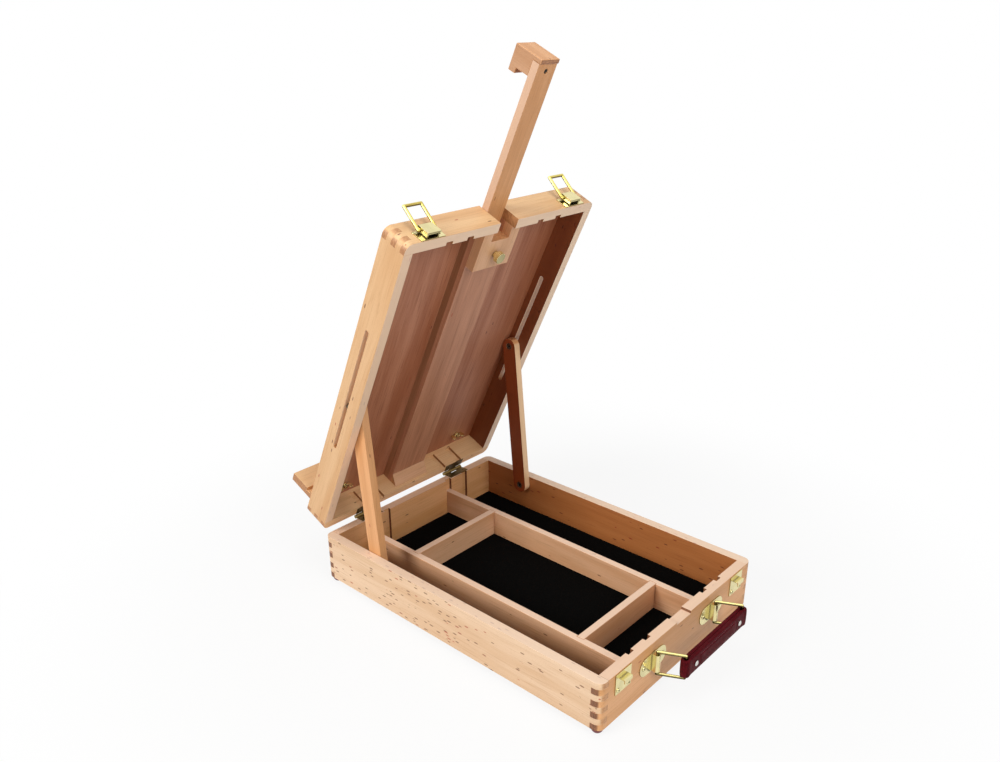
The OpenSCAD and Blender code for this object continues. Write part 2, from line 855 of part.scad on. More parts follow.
// Thin boards left and right of the mast's channel
module lid_board(side) {
    x0 = side < 0 ? -inner_w / 2 - board_lap : channel_w / 2;
    x1 = side < 0 ? -channel_w / 2 : inner_w / 2 + board_lap;
    in_lid() difference() {
        lid_box(x0, x1, wall_t - board_lap, box_l - wall_t + board_lap, board_low_d, lid_h);
        lid_rod(side * ledge_bolt_x, ledge_bolt_s, board_low_d - cut, lid_h + cut,
            ledge_bolt_r + running_gap);
    }
}

module lid_left_board() {
    color(plywood) lid_board(-1);
}

module lid_right_board() {
    color(plywood) lid_board(1);
}

// Rails beside the mast, with seats for the straps
module mast_rail(side) {
    x0 = side < 0 ? -channel_w / 2 : throat_w / 2;
    x1 = side < 0 ? -throat_w / 2 : channel_w / 2;
    in_lid() difference() {
        lid_box(x0, x1, wall_t, clamp_top_s, channel_d, lid_h);
        for (s = strap_s)
            lid_box(-strap_len / 2, strap_len / 2, s - strap_w / 2, s + strap_w / 2, strap_d, lid_h + cut);
        at_strap_screws() screw_hole();
    }
}

module left_mast_rail() {
    color(beech) mast_rail(-1);
}

module right_mast_rail() {
    color(beech) mast_rail(1);
}

module channel_cover() {
    color(plywood) in_lid() difference() {
        lid_box(-channel_w / 2, channel_w / 2, wall_t, clamp_top_s, cover_d, channel_d);
        lid_box(-throat_w / 2, throat_w / 2, notch_s, clamp_top_s + cut, cover_d - cut, channel_d + cut);
        lid_rod(0, clamp_screw_s, cover_d - cut, channel_d + cut, clamp_screw_r + running_gap);
    }
}

module clamp_block() {
    color(beech) in_lid() difference() {
        lid_box(-channel_w / 2, channel_w / 2, clamp_low_s, clamp_top_s, clamp_d, cover_d);
        lid_box(-throat_w / 2, throat_w / 2, notch_s, clamp_top_s + cut, clamp_d - cut, cover_d + cut);
        lid_rod(0, clamp_screw_s, clamp_d - cut, cover_d + cut, clamp_screw_r + running_gap);
    }
}

// Sloping block where the channel meets the hinge wall
module channel_slope() {
    color(beech) in_lid() translate([-channel_w / 2, 0, 0]) rotate([90, 0, 90])
        linear_extrude(channel_w) polygon([
            [lid_y(wall_t), lid_z(clamp_d)],
            [lid_y(wall_t), lid_z(cover_d)],
            [lid_y(wall_t + slope_len), lid_z(cover_d)]
        ]);
}

module mast_straps() {
    color(brass) in_lid() difference() {
        for (s = strap_s)
            lid_box(-strap_len / 2, strap_len / 2, s - strap_w / 2, s + strap_w / 2,
                strap_d, strap_d + strap_t);
        at_strap_screws() screw_hole(flush = true);
    }
}

module strap_screws() {
    color(brass) in_lid() at_strap_screws() flush_screw();
}

// Latch base plates on the lid's top wall, with two ears for the lever's pin
module latch_plates() {
    color(brass) in_lid() difference() {
        for (x = [-1, 1]) translate([x * latch_x, lid_y(box_l), lid_z(latch_plate_d)]) {
            translate([-latch_w / 2, -sheet_t, 0]) cube([latch_w, sheet_t, latch_h]);
            for (side = [-1, 1])
                translate([side * ear_x - sheet_t / 2, 0, lever_pivot_d - latch_plate_d])
                    rotate([90, 0, 90]) linear_extrude(sheet_t) {
                        translate([-lever_pivot_out, 0]) circle(ear_r);
                        translate([-lever_pivot_out, -ear_r]) square([lever_pivot_out, 2 * ear_r]);
                    }
        }
        at_latch_screws() screw_hole();
        for (x = [-1, 1])
            translate([x * latch_x - latch_w, lid_y(box_l + lever_pivot_out), lid_z(lever_pivot_d)])
                rotate([0, 90, 0]) cylinder(h = 2 * latch_w, r = lever_pin_r + running_gap);
    }
}

module latch_screws() {
    color(brass) in_lid() at_latch_screws() flush_on_plate();
}

// Low screw for the latch plates, under the levers
module flush_on_plate() {
    translate([0, 0, -screw_len]) cylinder(h = screw_len, r = screw_r);
    cylinder(h = low_head_h, r1 = low_head_r, r2 = low_head_top_r);
}

// Latch lever: its pin in the base plate's ears, its plate, and cheeks that carry the loop
module latch_lever(x) {
    in_lid() translate([x, lid_y(box_l + lever_pivot_out), lid_z(lever_pivot_d)]) {
        rotate([0, 90, 0]) translate([0, 0, -lever_w / 2]) cylinder(h = lever_w, r = lever_pin_r);
        difference() {
            union() {
                for (side = [-1, 1])
                    translate([side * (lever_w / 2 - sheet_t / 2) - sheet_t / 2, 0, 0])
                        rotate([90, 0, 90]) linear_extrude(sheet_t) {
                            circle(lever_r);
                            translate([0, lever_len]) circle(lever_r + loop_pin_extra);
                            translate([-lever_r, 0]) square([2 * lever_r, lever_len]);
                        }
                translate([-lever_w / 2, -lever_r - sheet_t, -lever_r])
                    cube([lever_w, sheet_t + lever_lap, lever_len + lever_tail]);
            }
            translate([-lever_w, bail_pivot_out - lever_pivot_out, lever_len]) rotate([0, 90, 0])
                cylinder(h = 2 * lever_w, r = bail_r + running_gap);
        }
    }
}

module left_latch_lever() {
    color(brass) latch_lever(-latch_x);
}

module right_latch_lever() {
    color(brass) latch_lever(latch_x);
}

// Latch loop: a closed wire rectangle that turns in the lever's cheeks
module latch_loop(x) {
    in_lid() translate([x, lid_y(box_l + bail_pivot_out), lid_z(bail_pivot_d)])
        rotate([bail_rise, 0, 0]) {
            for (z = [0, bail_len]) translate([-bail_w / 2, 0, z]) rotate([0, 90, 0])
                cylinder(h = bail_w, r = bail_r);
            for (side = [-1, 1]) {
                translate([side * bail_w / 2, 0, 0]) cylinder(h = bail_len, r = bail_r);
                for (z = [0, bail_len]) translate([side * bail_w / 2, 0, z]) sphere(bail_r);
            }
        }
}

module left_latch_loop() {
    color(brass) latch_loop(-latch_x);
}

module right_latch_loop() {
    color(brass) latch_loop(latch_x);
}

// Ledge that the canvas stands on, behind the lid
module canvas_ledge() {
    color(beech) in_lid() difference() {
        lid_box(-half_w, half_w, ledge_start, ledge_start + ledge_t, lid_h, ledge_end_d);
        lid_box(-half_w - cut, half_w + cut, ledge_start + ledge_t - canvas_groove_h,
            ledge_start + ledge_t + cut, lid_h + canvas_groove_gap,
            lid_h + canvas_groove_gap + canvas_groove_w);
        for (side = [-1, 1])
            lid_rod(side * ledge_bolt_x, ledge_bolt_s, lid_h - cut, lid_h + bolt_depth, ledge_bolt_r);
    }
}

module ledge_bolts() {
    color(brass) in_lid() for (side = [-1, 1])
        lid_rod(side * ledge_bolt_x, ledge_bolt_s, board_low_d - nut_t - bolt_tail, lid_h + bolt_depth,
            ledge_bolt_r);
}

// Wing nut on a ledge bolt, inside the lid
module wing_nut(side) {
    in_lid() translate([side * ledge_bolt_x, lid_y(ledge_bolt_s), lid_z(board_low_d)])
        rotate([180, 0, 0]) difference() {
            union() {
                cylinder(h = nut_t, r = nut_r);
                for (a = [0, 180]) rotate([90, 0, a]) translate([0, 0, -wing_t / 2]) linear_extrude(wing_t) {
                    translate([nut_r - wing_lap, wing_lift])
                        square([wing_span / 2 - nut_r - wing_lap, nut_t]);
                    translate([wing_span / 2 - wing_r, wing_h - wing_r]) circle(wing_r);
                    translate([wing_span / 2 - wing_r - wing_neck / 2, wing_lift])
                        square([wing_neck, wing_h - wing_r]);
                }
            }
            translate([0, 0, -cut]) cylinder(h = nut_t + 2 * cut, r = ledge_bolt_r + running_gap);
        }
}

module left_wing_nut() {
    color(brass) wing_nut(-1);
}

module right_wing_nut() {
    color(brass) wing_nut(1);
}

// Clamp screw with a knurled round head, bearing on the mast
module clamp_screw() {
    color(brass) in_lid() translate([0, lid_y(clamp_screw_s), lid_z(clamp_d)]) rotate([180, 0, 0]) {
        translate([0, 0, -(channel_d - clamp_d)])
            cylinder(h = channel_d - clamp_d + clamp_collar_h, r = clamp_screw_r);
        translate([0, 0, head_gap]) cylinder(h = clamp_collar_h, r = clamp_collar_r);
        translate([0, 0, clamp_collar_h]) difference() {
            cylinder(h = clamp_head_h, r = clamp_head_r);
            for (i = [0 : knurl_count - 1])
                rotate([0, 0, i * 360 / knurl_count]) translate([clamp_head_r + knurl_out, 0, -cut])
                    cylinder(h = clamp_head_h + 2 * cut, r = knurl_r, $fn = 16);
        }
    }
}

// Mast that slides in the lid's channel
module mast() {
    color("sandybrown") in_lid() difference() {
        lid_box(-mast_w / 2, mast_w / 2, mast_low_s, mast_end_s, mast_front_d, mast_back_d);
        at_head_screw() screw_hole(head_screw_len, flush = true);
    }
}

// Head behind the mast's end: a block with a cap over the mast, and a hook for the canvas
module mast_head() {
    color("sandybrown") in_lid() difference() {
        union() {
            lid_box(-head_w / 2, head_w / 2, head_low_s, mast_top_s, mast_back_d, head_far_d);
            lid_box(-head_w / 2, head_w / 2, mast_end_s, mast_top_s, mast_front_d - head_over, head_far_d);
            lid_box(-head_w / 2, head_w / 2, head_low_s - hook_drop, head_low_s + cut,
                head_far_d - hook_t, head_far_d);
        }
        at_head_screw() screw_hole(head_screw_len);
    }
}

// The screw's head lies sunk in the mast's front
module at_head_screw() {
    translate([0, lid_y(head_low_s + head_screw_rise), lid_z(mast_front_d + head_screw_sink)])
        rotate([180, 0, 0]) children();
}

module mast_head_screw() {
    color("silver") in_lid() at_head_screw() flush_screw(head_screw_len);
}

// Struts, each a flat bar with round ends
module strut(side) {
    in_part() translate([side > 0 ? strut_x : -strut_x - strut_t, 0, 0])
        difference() {
            rotate([90, 0, 90]) linear_extrude(strut_t)
                translate([foot_y, foot_z]) rotate(strut_lean) {
                    translate([0, -strut_w / 2]) square([strut_reach, strut_w]);
                    circle(strut_w / 2);
                    translate([strut_reach, 0]) circle(strut_w / 2);
                }
            strut_bolt_room(foot_y, foot_z, side, 0);
            strut_bolt_room(strut_top[0], strut_top[1], side, running_gap);
        }
}

// Hole for a pivot bolt through a strut, with a seat for its head on the inner face
module strut_bolt_room(y, z, side, gap) {
    translate([0, y, z]) rotate([0, 90, 0]) {
        translate([0, 0, -cut]) cylinder(h = strut_t + 2 * cut, r = bolt_r + gap);
        translate([0, 0, side > 0 ? -cut : strut_t - bolt_head_h - gap])
            cylinder(h = bolt_head_h + cut + gap, r = bolt_head_r + gap);
    }
}

module left_strut() {
    color("sandybrown") strut(-1);
}

module right_strut() {
    color("sandybrown") strut(1);
}

// Pivot bolt: its head, with a socket, sits in the strut's inner face at x = strut_x
module pivot_bolt(y, z, side, end_x) {
    in_part() mirror([side < 0 ? 1 : 0, 0, 0]) translate([strut_x, y, z]) rotate([0, 90, 0]) difference() {
        union() {
            cylinder(h = bolt_head_h, r = bolt_head_r);
            cylinder(h = end_x - strut_x, r = bolt_r);
        }
        translate([0, 0, -cut]) cylinder(h = bolt_head_h + cut, r = socket_r);
    }
}

// Bolts that run in the lid's slots
module left_slot_bolt() {
    color("silver") pivot_bolt(strut_top[0], strut_top[1], -1, bolt_end_x);
}

module right_slot_bolt() {
    color("silver") pivot_bolt(strut_top[0], strut_top[1], 1, bolt_end_x);
}

// Lower pivot pins, which end at the struts' outer faces
module left_strut_pin() {
    color("silver") pivot_bolt(foot_y, foot_z, -1, strut_x + strut_t);
}

module right_strut_pin() {
    color("silver") pivot_bolt(foot_y, foot_z, 1, strut_x + strut_t);
}

module tray_left_wall() {
    color(beech) tray_side_wall(-1);
}

module tray_right_wall() {
    color(beech) tray_side_wall(1);
}

tray_front_wall();
tray_back_wall();
tray_left_wall();
tray_right_wall();
tray_floor();
floor_lining();
left_divider();
right_divider();
back_cross_divider();
front_cross_divider();
dome_feet();
tray_hinge_leaves();
hinge_pins();
tray_hinge_screws();
strut_bushes();
catch_plates();
catch_screws();
handle_brackets();
bracket_screws();
left_handle_ring();
right_handle_ring();
handle_grip();
grip_rivets();
lid_top_left_wall();
lid_top_right_wall();
lid_hinge_wall();
lid_left_wall();
lid_right_wall();
lid_left_board();
lid_right_board();
left_mast_rail();
right_mast_rail();
channel_cover();
clamp_block();
channel_slope();
mast_straps();
strap_screws();
lid_hinge_leaves();
lid_hinge_screws();
latch_plates();
latch_screws();
left_latch_lever();
right_latch_lever();
left_latch_loop();
right_latch_loop();
canvas_ledge();
ledge_bolts();
left_wing_nut();
right_wing_nut();
clamp_screw();
mast();
mast_head();
mast_head_screw();
left_strut();
right_strut();
left_slot_bolt();
right_slot_bolt();
left_strut_pin();
right_strut_pin();
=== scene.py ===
"""Looks of a table box easel: beech and its flecks, brass fittings, a leather grip and a felt lining.

Metres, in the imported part's own frame: +Z is up, the handle is at -Y, the hinges are at +Y.
"""
import json
import math

import bmesh
import bpy
import numpy as np
from mathutils import Matrix, Vector


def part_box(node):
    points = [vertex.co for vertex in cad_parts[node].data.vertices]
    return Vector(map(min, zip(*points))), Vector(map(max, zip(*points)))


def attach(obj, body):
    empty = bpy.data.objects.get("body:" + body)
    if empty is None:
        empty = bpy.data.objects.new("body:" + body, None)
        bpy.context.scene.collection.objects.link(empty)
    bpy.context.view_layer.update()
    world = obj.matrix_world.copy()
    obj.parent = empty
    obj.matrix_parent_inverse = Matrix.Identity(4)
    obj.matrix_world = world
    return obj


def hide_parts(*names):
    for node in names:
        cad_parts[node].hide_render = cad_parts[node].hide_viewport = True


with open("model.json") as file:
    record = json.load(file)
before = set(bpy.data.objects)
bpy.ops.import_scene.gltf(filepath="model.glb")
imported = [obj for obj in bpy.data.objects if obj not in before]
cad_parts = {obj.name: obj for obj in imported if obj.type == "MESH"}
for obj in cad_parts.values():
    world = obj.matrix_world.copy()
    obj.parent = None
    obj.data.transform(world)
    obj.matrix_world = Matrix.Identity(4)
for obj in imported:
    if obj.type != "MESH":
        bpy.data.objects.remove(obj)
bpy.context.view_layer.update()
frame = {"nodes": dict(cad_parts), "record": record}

# Directions of the boards' grain, with the lid as it stands in the photograph
LID_ANGLE = math.radians(65)
ACROSS = Vector((1, 0, 0))
ALONG = Vector((0, 1, 0))
UP = Vector((0, 0, 1))
UP_THE_LID = Vector((0, -math.cos(LID_ANGLE), math.sin(LID_ANGLE)))
OUT_OF_LID = Vector((0, math.sin(LID_ANGLE), math.cos(LID_ANGLE)))

# The photograph's camera
CAMERA_AT = Vector((-0.6642, -0.56377, 0.5971))
CAMERA_TURN = math.radians(-48.322)
CAMERA_RISE = math.radians(23.67)
CAMERA_ROLL = math.radians(-0.142)
LENS = 33.06
SHIFT = (-0.0075, 0.0338)

# Corners nearer than MERGE are one; edges that bend more than SHARP stay crisp and get eased
MERGE = 2e-6
SHARP = math.radians(32)


# Materials

def rgba(text):
    """A screen colour such as e6c7a6, as the linear colour that a shader takes."""
    values = [int(text[i:i + 2], 16) / 255 for i in (0, 2, 4)]
    return [v / 12.92 if v <= 0.04045 else ((v + 0.055) / 1.055) ** 2.4 for v in values] + [1.0]


class Finish:
    """A material being made: each call adds one node and gives back the output to use."""

    def __init__(self, name):
        self.material = bpy.data.materials.new(name)
        self.material.use_nodes = True
        self.tree = self.material.node_tree
        self.tree.nodes.clear()
        self.coordinates = self.tree.nodes.new("ShaderNodeTexCoord")
        self.normal = self.coordinates.outputs["Normal"]

    def put(self, kind, outlet, inlets, **settings):
        """Adds a node, sets or joins its inputs, and gives back one output, or the node for None."""
        made = self.tree.nodes.new(kind)
        for name, value in settings.items():
            setattr(made, name, value)
        for key, value in inlets.items():
            if isinstance(value, bpy.types.NodeSocket):
                self.tree.links.new(value, made.inputs[key])
            else:
                made.inputs[key].default_value = value
        return made if outlet is None else made.outputs[outlet]

    def place(self, turn=None, shift=(0, 0, 0)):
        """The piece's own coordinates, turned and moved if asked."""
        inlets = {"Vector": self.coordinates.outputs["Object"], "Location": shift}
        if turn is not None:
            inlets["Rotation"] = turn.to_euler()
        return self.put("ShaderNodeMapping", "Vector", inlets)

    def stretch(self, vector, scale):
        return self.put("ShaderNodeVectorMath", 0, {0: vector, 1: scale}, operation="MULTIPLY")

    def shift(self, vector, other):
        return self.put("ShaderNodeVectorMath", 0, {0: vector, 1: other}, operation="ADD")

    def dot(self, vector, other):
        return self.put("ShaderNodeVectorMath", 1, {0: vector, 1: other}, operation="DOT_PRODUCT")

    def maths(self, what, a, b=0.0):
        return self.put("ShaderNodeMath", 0, {0: a, 1: b}, operation=what)

    def clouds(self, vector, scale=1.0, detail=2.0, outlet=0):
        return self.put("ShaderNodeTexNoise", outlet, {"Vector": vector, "Scale": scale, "Detail": detail})

    def cells(self, vector, scale=1.0, outlet="Distance", feature="F1"):
        return self.put("ShaderNodeTexVoronoi", outlet, {"Vector": vector, "Scale": scale}, feature=feature)

    def fade(self, value, low, high, start=0.0, end=1.0):
        """A smooth change from start to end as the value goes from low to high."""
        return self.put("ShaderNodeMapRange", 0, {0: value, 1: low, 2: high, 3: start, 4: end},
                        interpolation_type="SMOOTHSTEP")

    def mix(self, amount, a, b, how="MIX"):
        return self.put("ShaderNodeMix", 2, {0: amount, 6: a, 7: b}, data_type="RGBA", blend_type=how)

    def bump(self, height, distance, strength=1.0):
        return self.put("ShaderNodeBump", 0, {"Height": height, "Distance": distance, "Strength": strength})

    def done(self, colour, roughness, normal=None, **numbers):
        """Sets the surface; plain numbers go straight on the shader's own inputs."""
        inlets = {"Base Color": colour, "Roughness": roughness}
        if normal is not None:
            inlets["Normal"] = normal
        inlets.update({key.replace("_", " "): value for key, value in numbers.items()})
        surface = self.put("ShaderNodeBsdfPrincipled", 0, inlets)
        self.put("ShaderNodeOutputMaterial", None, {"Surface": surface})
        return self.material


def board_axes(grain):
    """The turn that lays a board's grain along X, as a matrix of rows."""
    across = UP if abs(grain.x) > 0.9 else ACROSS
    side = across.cross(grain).normalized()
    return Matrix((grain, side, grain.cross(side)))


# Colours of the woods: "flecks" is the share of cells that hold a ray fleck
BEECH = {"pale": "efcba4", "dark": "e0b68a", "line": "c4956a", "fleck": "7d4a26", "red": "b84c2a",
         "end": "d09c6c", "end_dark": "b57c4e", "flecks": 0.06, "roughness": 0.5}
LEFT_BEECH = dict(BEECH, flecks=0.85)
SIDE_BEECH = dict(BEECH, flecks=0.3)
LID_BEECH = dict(BEECH, pale="ecc08e", dark="dda972", line="c08a56", flecks=0.12)
# The front and back walls' wood is darker and more orange, partly as painted shade for their dimly lit
# faces; their dark end grain is the wood's own
CROSS_BEECH = dict(BEECH, pale="e6ad78", dark="d69a60", line="b87a44", end="8c5a38", end_dark="5c3418")
LID_CROSS = dict(BEECH, pale="efc491", dark="e0ad78", end="b98354", end_dark="946038")
# The inner pieces' wood is darker and more orange, partly as painted shade for the tray's and lid's shaded
# insides
INNER_BEECH = dict(BEECH, pale="e4b48c", dark="d29c70", line="b4835a")
RAIL = dict(BEECH, pale="b07c58", dark="946240", line="7a4a2c", flecks=0.0)
OILED = dict(BEECH, pale="e2a873", dark="d0925a", line="b4763f", fleck="8c4c22", flecks=0.03, roughness=0.45,
             end="b87f52", end_dark="8a5230")
PLY = dict(BEECH, pale="b77a5a", dark="9d5d3c", line="6e3820", fleck="532613", flecks=0.02, roughness=0.55)
COVER = dict(PLY, pale="c68b6a", dark="ad7453", line="845138")

# Painted shade: sides darkened because of how light falls on them, each with the tone that darkens it
PAINTED_SHADE_SIDES = {"lid_right_wall": [(-ACROSS, "8f5a38")], "right_strut": [(-ACROSS, "a8673c")],
          "tray_right_wall": [(-ACROSS, "c39264")], "left_strut": [(ACROSS, "a8673c")],
          "lid_left_wall": [(ACROSS, "8f5a38"), (-ACROSS, "e9e7e6")],
          "tray_left_wall": [(-ACROSS, "f3f5fb")], "mast_head": [(-ACROSS, "dadff4")]}

# Faces mixed towards a tone: the rims that meet when the box is closed, which are paler; the right strut's
# front edge, paler as a painted highlight; and the mast's left side, duller as painted shade
RIM_TONE = "f3d9c2"
RIM_TONES_AND_PAINTED_LIGHT = {node: (UP, RIM_TONE) for node in (
    "tray_front_wall", "tray_back_wall", "tray_left_wall", "tray_right_wall",
    "left_divider", "right_divider", "back_cross_divider", "front_cross_divider")}
RIM_TONES_AND_PAINTED_LIGHT.update({node: (-OUT_OF_LID, RIM_TONE) for node in (
    "lid_left_wall", "lid_right_wall", "lid_top_left_wall", "lid_top_right_wall")})
# Painted highlight on the right strut's front edge
RIM_TONES_AND_PAINTED_LIGHT["right_strut"] = (-ALONG, "ffdcb0")
# Painted shade on the mast's left side
RIM_TONES_AND_PAINTED_LIGHT["mast"] = (-ACROSS, "cdae98")

# How often the wood's marks repeat in a metre: along the grain, across the board and through it
FIGURE = (4, 60, 60)
GRAIN_LINES = (24, 900, 900)
PORES = (420, 2400, 2400)
RAY_FLECKS = (85, 330, 330)
END_RINGS = (40, 1500, 300)

# How far the marks stray from straight, and how deep the grain is, in metres
WOBBLE = (0.01, 0.006, 0.006)
GRAIN_RELIEF = 0.00012


def wood(name, grain, seed, look, painted_shades=(), face_tone=None):
    """Straight grained wood: pores, ray flecks and darker end grain; if asked, painted shade on some sides,
    and faces mixed towards a tone, which are paler rims, a painted highlight or painted shade.
    """
    f = Finish(name)
    spot = f.place(board_axes(grain), (0.37 * seed, 0.21 * seed, 0.13 * seed))
    wobble = f.stretch(f.shift(f.clouds(spot, 7, 1, "Color"), (-0.5, -0.5, -0.5)), WOBBLE)
    spot = f.shift(spot, wobble)
    figure = f.clouds(f.stretch(spot, FIGURE), 1, 3)
    lines = f.clouds(f.stretch(spot, GRAIN_LINES), 1, 3)
    colour = f.mix(f.fade(figure, 0.3, 0.7), rgba(look["pale"]), rgba(look["dark"]))
    colour = f.mix(f.fade(lines, 0.5, 0.78, 0, 0.55), colour, rgba(look["line"]))
    pores = f.fade(f.cells(f.stretch(spot, PORES)), 0.1, 0.3, 0.5, 0)
    colour = f.mix(pores, colour, rgba(look["line"]))
    cell = f.stretch(spot, RAY_FLECKS)
    shape = f.fade(f.cells(cell), 0.19, 0.27, 1, 0)
    chance = f.put("ShaderNodeSeparateColor", 0, {0: f.cells(cell, 1, "Color")})
    patch = f.fade(f.clouds(spot, 22, 1), 0.35, 0.65, 0.25, 1.0)
    kept = f.maths("LESS_THAN", chance, f.maths("MULTIPLY", patch, look["flecks"]))
    flecks = f.maths("MULTIPLY", shape, kept)
    rust = f.put("ShaderNodeSeparateColor", 1, {0: f.cells(cell, 1, "Color")})
    fleck_tone = f.mix(f.fade(rust, 0.55, 0.95), rgba(look["fleck"]), rgba(look["red"]))
    colour = f.mix(f.maths("MULTIPLY", flecks, 0.9), colour, fleck_tone)
    # Painted shade: sides that face a given direction are multiplied by their darkening tone
    for direction, tone in painted_shades:
        toward = f.fade(f.dot(f.normal, direction), 0.7, 0.95)
        colour = f.mix(toward, colour, f.mix(1.0, colour, rgba(tone), "MULTIPLY"))
    # Faces towards a given direction are mixed towards a tone: paler rims, the painted highlight on the
    # strut's edge and the painted shade on the mast's side
    if face_tone is not None:
        direction, tone = face_tone
        toward = f.fade(f.dot(f.normal, direction), 0.8, 0.97, 0, 0.65)
        colour = f.mix(toward, colour, rgba(tone))
    ends = f.fade(f.maths("ABSOLUTE", f.dot(f.normal, grain)), 0.72, 0.92)
    rings = f.clouds(f.stretch(spot, END_RINGS), 1, 3)
    end_tone = f.mix(f.fade(rings, 0.35, 0.7), rgba(look["end"]), rgba(look["end_dark"]))
    colour = f.mix(ends, colour, end_tone)
    relief = f.maths("SUBTRACT", lines, f.maths("ADD", f.maths("MULTIPLY", pores, 0.5), flecks))
    rough = f.fade(lines, 0.2, 0.8, look["roughness"] - 0.06, look["roughness"] + 0.08)
    return f.done(colour, rough, f.bump(relief, GRAIN_RELIEF, 0.6), Coat_Weight=0.12, Coat_Roughness=0.3)


# Polished metal: the direction it faces to take a painted highlight, how near a corner painted shade
# reaches, and its rubbing marks
PAINTED_HIGHLIGHT_SIDE = (-0.35, -0.25, 0.9)
CORNER_SHADE_REACH = 0.003
RUBBING = (300, 2600, 900)


def metal(name, pale, dark, roughness, low=-0.6, high=0.45):
    """Polished metal with painted light: a painted highlight where it faces the pale side by more than high,
    painted shade where it faces it by less than low, and painted shade in corners and screw recesses.
    """
    f = Finish(name)
    spot = f.place()
    cloudy = f.clouds(spot, 90, 3)
    rubbed = f.clouds(f.stretch(spot, RUBBING), 1, 3)
    # Painted highlight and painted shade by the way each face is turned
    lit = f.dot(f.normal, PAINTED_HIGHLIGHT_SIDE)
    level = f.maths("ADD", f.fade(lit, low, high), f.fade(cloudy, 0.3, 0.75, -0.08, 0.08))
    # Painted shade in corners and where parts meet
    corners = f.put("ShaderNodeAmbientOcclusion", 1, {"Distance": CORNER_SHADE_REACH}, samples=8)
    level = f.maths("MULTIPLY", level, f.fade(corners, 0.3, 0.85, 0.1, 1.0))
    # Painted shade in the screws' cross recesses
    recess = f.put("ShaderNodeAttribute", 2, {}, attribute_name="recess")
    level = f.maths("MULTIPLY", level, f.fade(recess, 0.0, 1.0, 1.0, 0.0))
    colour = f.mix(level, rgba(dark), rgba(pale))
    rough = f.fade(f.maths("ADD", cloudy, rubbed), 0.6, 1.4, roughness * 0.8, roughness * 1.3)
    return f.done(colour, rough, f.bump(rubbed, 0.000004, 0.5), Metallic=1.0)


def grip_leather():
    """Wine red leather: pebbled grain, creases and slightly worn high spots."""
    f = Finish("grip_leather")
    spot = f.place()
    pebbles = f.cells(spot, 1500, "Distance", "SMOOTH_F1")
    creases = f.clouds(f.stretch(spot, (120, 420, 420)), 1, 4)
    worn = f.clouds(spot, 90, 3)
    colour = f.mix(f.fade(pebbles, 0.15, 0.6), rgba("620a16"), rgba("380409"))
    colour = f.mix(f.fade(worn, 0.5, 0.8, 0, 0.35), colour, rgba("6e1824"))
    height = f.maths("SUBTRACT", f.maths("MULTIPLY", creases, 0.6), pebbles)
    rough = f.fade(worn, 0.3, 0.7, 0.6, 0.48)
    return f.done(colour, rough, f.bump(height, 0.0002, 0.7), Specular_IOR_Level=0.06)


def grip_thread():
    """Waxed red thread, with its twist."""
    f = Finish("grip_thread")
    twist = f.put("ShaderNodeTexWave", 1, {"Vector": f.place(), "Scale": 900.0, "Distortion": 1.0},
                  bands_direction="DIAGONAL")
    colour = f.mix(twist, rgba("8a4148"), rgba("5c252c"))
    return f.done(colour, 0.6, f.bump(twist, 0.0001, 0.6))


def floor_felt():
    """Black fibre lining with a few paler fibres."""
    f = Finish("floor_felt")
    spot = f.place()
    fibres = f.clouds(f.stretch(spot, (900, 1300, 900)), 1, 4)
    nap = f.clouds(spot, 420, 3)
    lint = f.fade(f.cells(f.stretch(spot, (260, 420, 400))), 0.05, 0.12, 0.5, 0)
    colour = f.mix(f.fade(fibres, 0.3, 0.75), rgba("020202"), rgba("0a0a09"))
    colour = f.mix(lint, colour, rgba("262623"))
    height = f.maths("ADD", fibres, f.maths("MULTIPLY", nap, 0.7))
    return f.done(colour, 1.0, f.bump(height, 0.0006, 0.8), Specular_IOR_Level=0.04)


def foot_resin():
    """Wine red moulded feet with a dull skin."""
    f = Finish("foot_resin")
    spot = f.place()
    skin = f.clouds(spot, 1200, 2)
    colour = f.mix(f.fade(f.clouds(spot, 200, 2), 0.3, 0.7), rgba("7c2a33"), rgba("662029"))
    return f.done(colour, f.fade(skin, 0.3, 0.7, 0.28, 0.45), f.bump(skin, 0.00005, 0.5))


# Pieces

def body_of(node):
    """The body that a CAD node moves with."""
    return next(b for b, nodes in frame["record"]["behaviour"]["bodies"].items() if node in nodes)


def slot_of(node):
    """The record's material slot for a CAD node."""
    return next(p["material_slot"] for p in frame["record"]["subparts"] if p["node"] == node)


def stands_for(piece, node):
    """A finished piece takes a CAD node's place: it moves with the node's body, the node's slot is looked
    up, and the node is hidden.
    """
    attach(piece, body_of(node))
    slot_of(node)
    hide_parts(node)
    return piece


def link(name, mesh):
    """A new piece in the scene, made of a mesh."""
    piece = bpy.data.objects.new(name, mesh)
    bpy.context.scene.collection.objects.link(piece)
    return piece


def solid_of(node):
    """A clean copy of a CAD node's solid: joined corners and whole faces."""
    mesh = frame["nodes"][node].data.copy()
    work = bmesh.new()
    work.from_mesh(mesh)
    bmesh.ops.remove_doubles(work, verts=work.verts, dist=MERGE)
    bmesh.ops.dissolve_limit(work, angle_limit=math.radians(0.5), verts=work.verts, edges=work.edges)
    for face in work.faces:
        face.smooth = True
    for edge in work.edges:
        edge.smooth = edge.calc_face_angle(0) < SHARP
    clean = bpy.data.meshes.new(node + "_clean")
    work.to_mesh(clean)
    work.free()
    bpy.data.meshes.remove(mesh)
    return clean


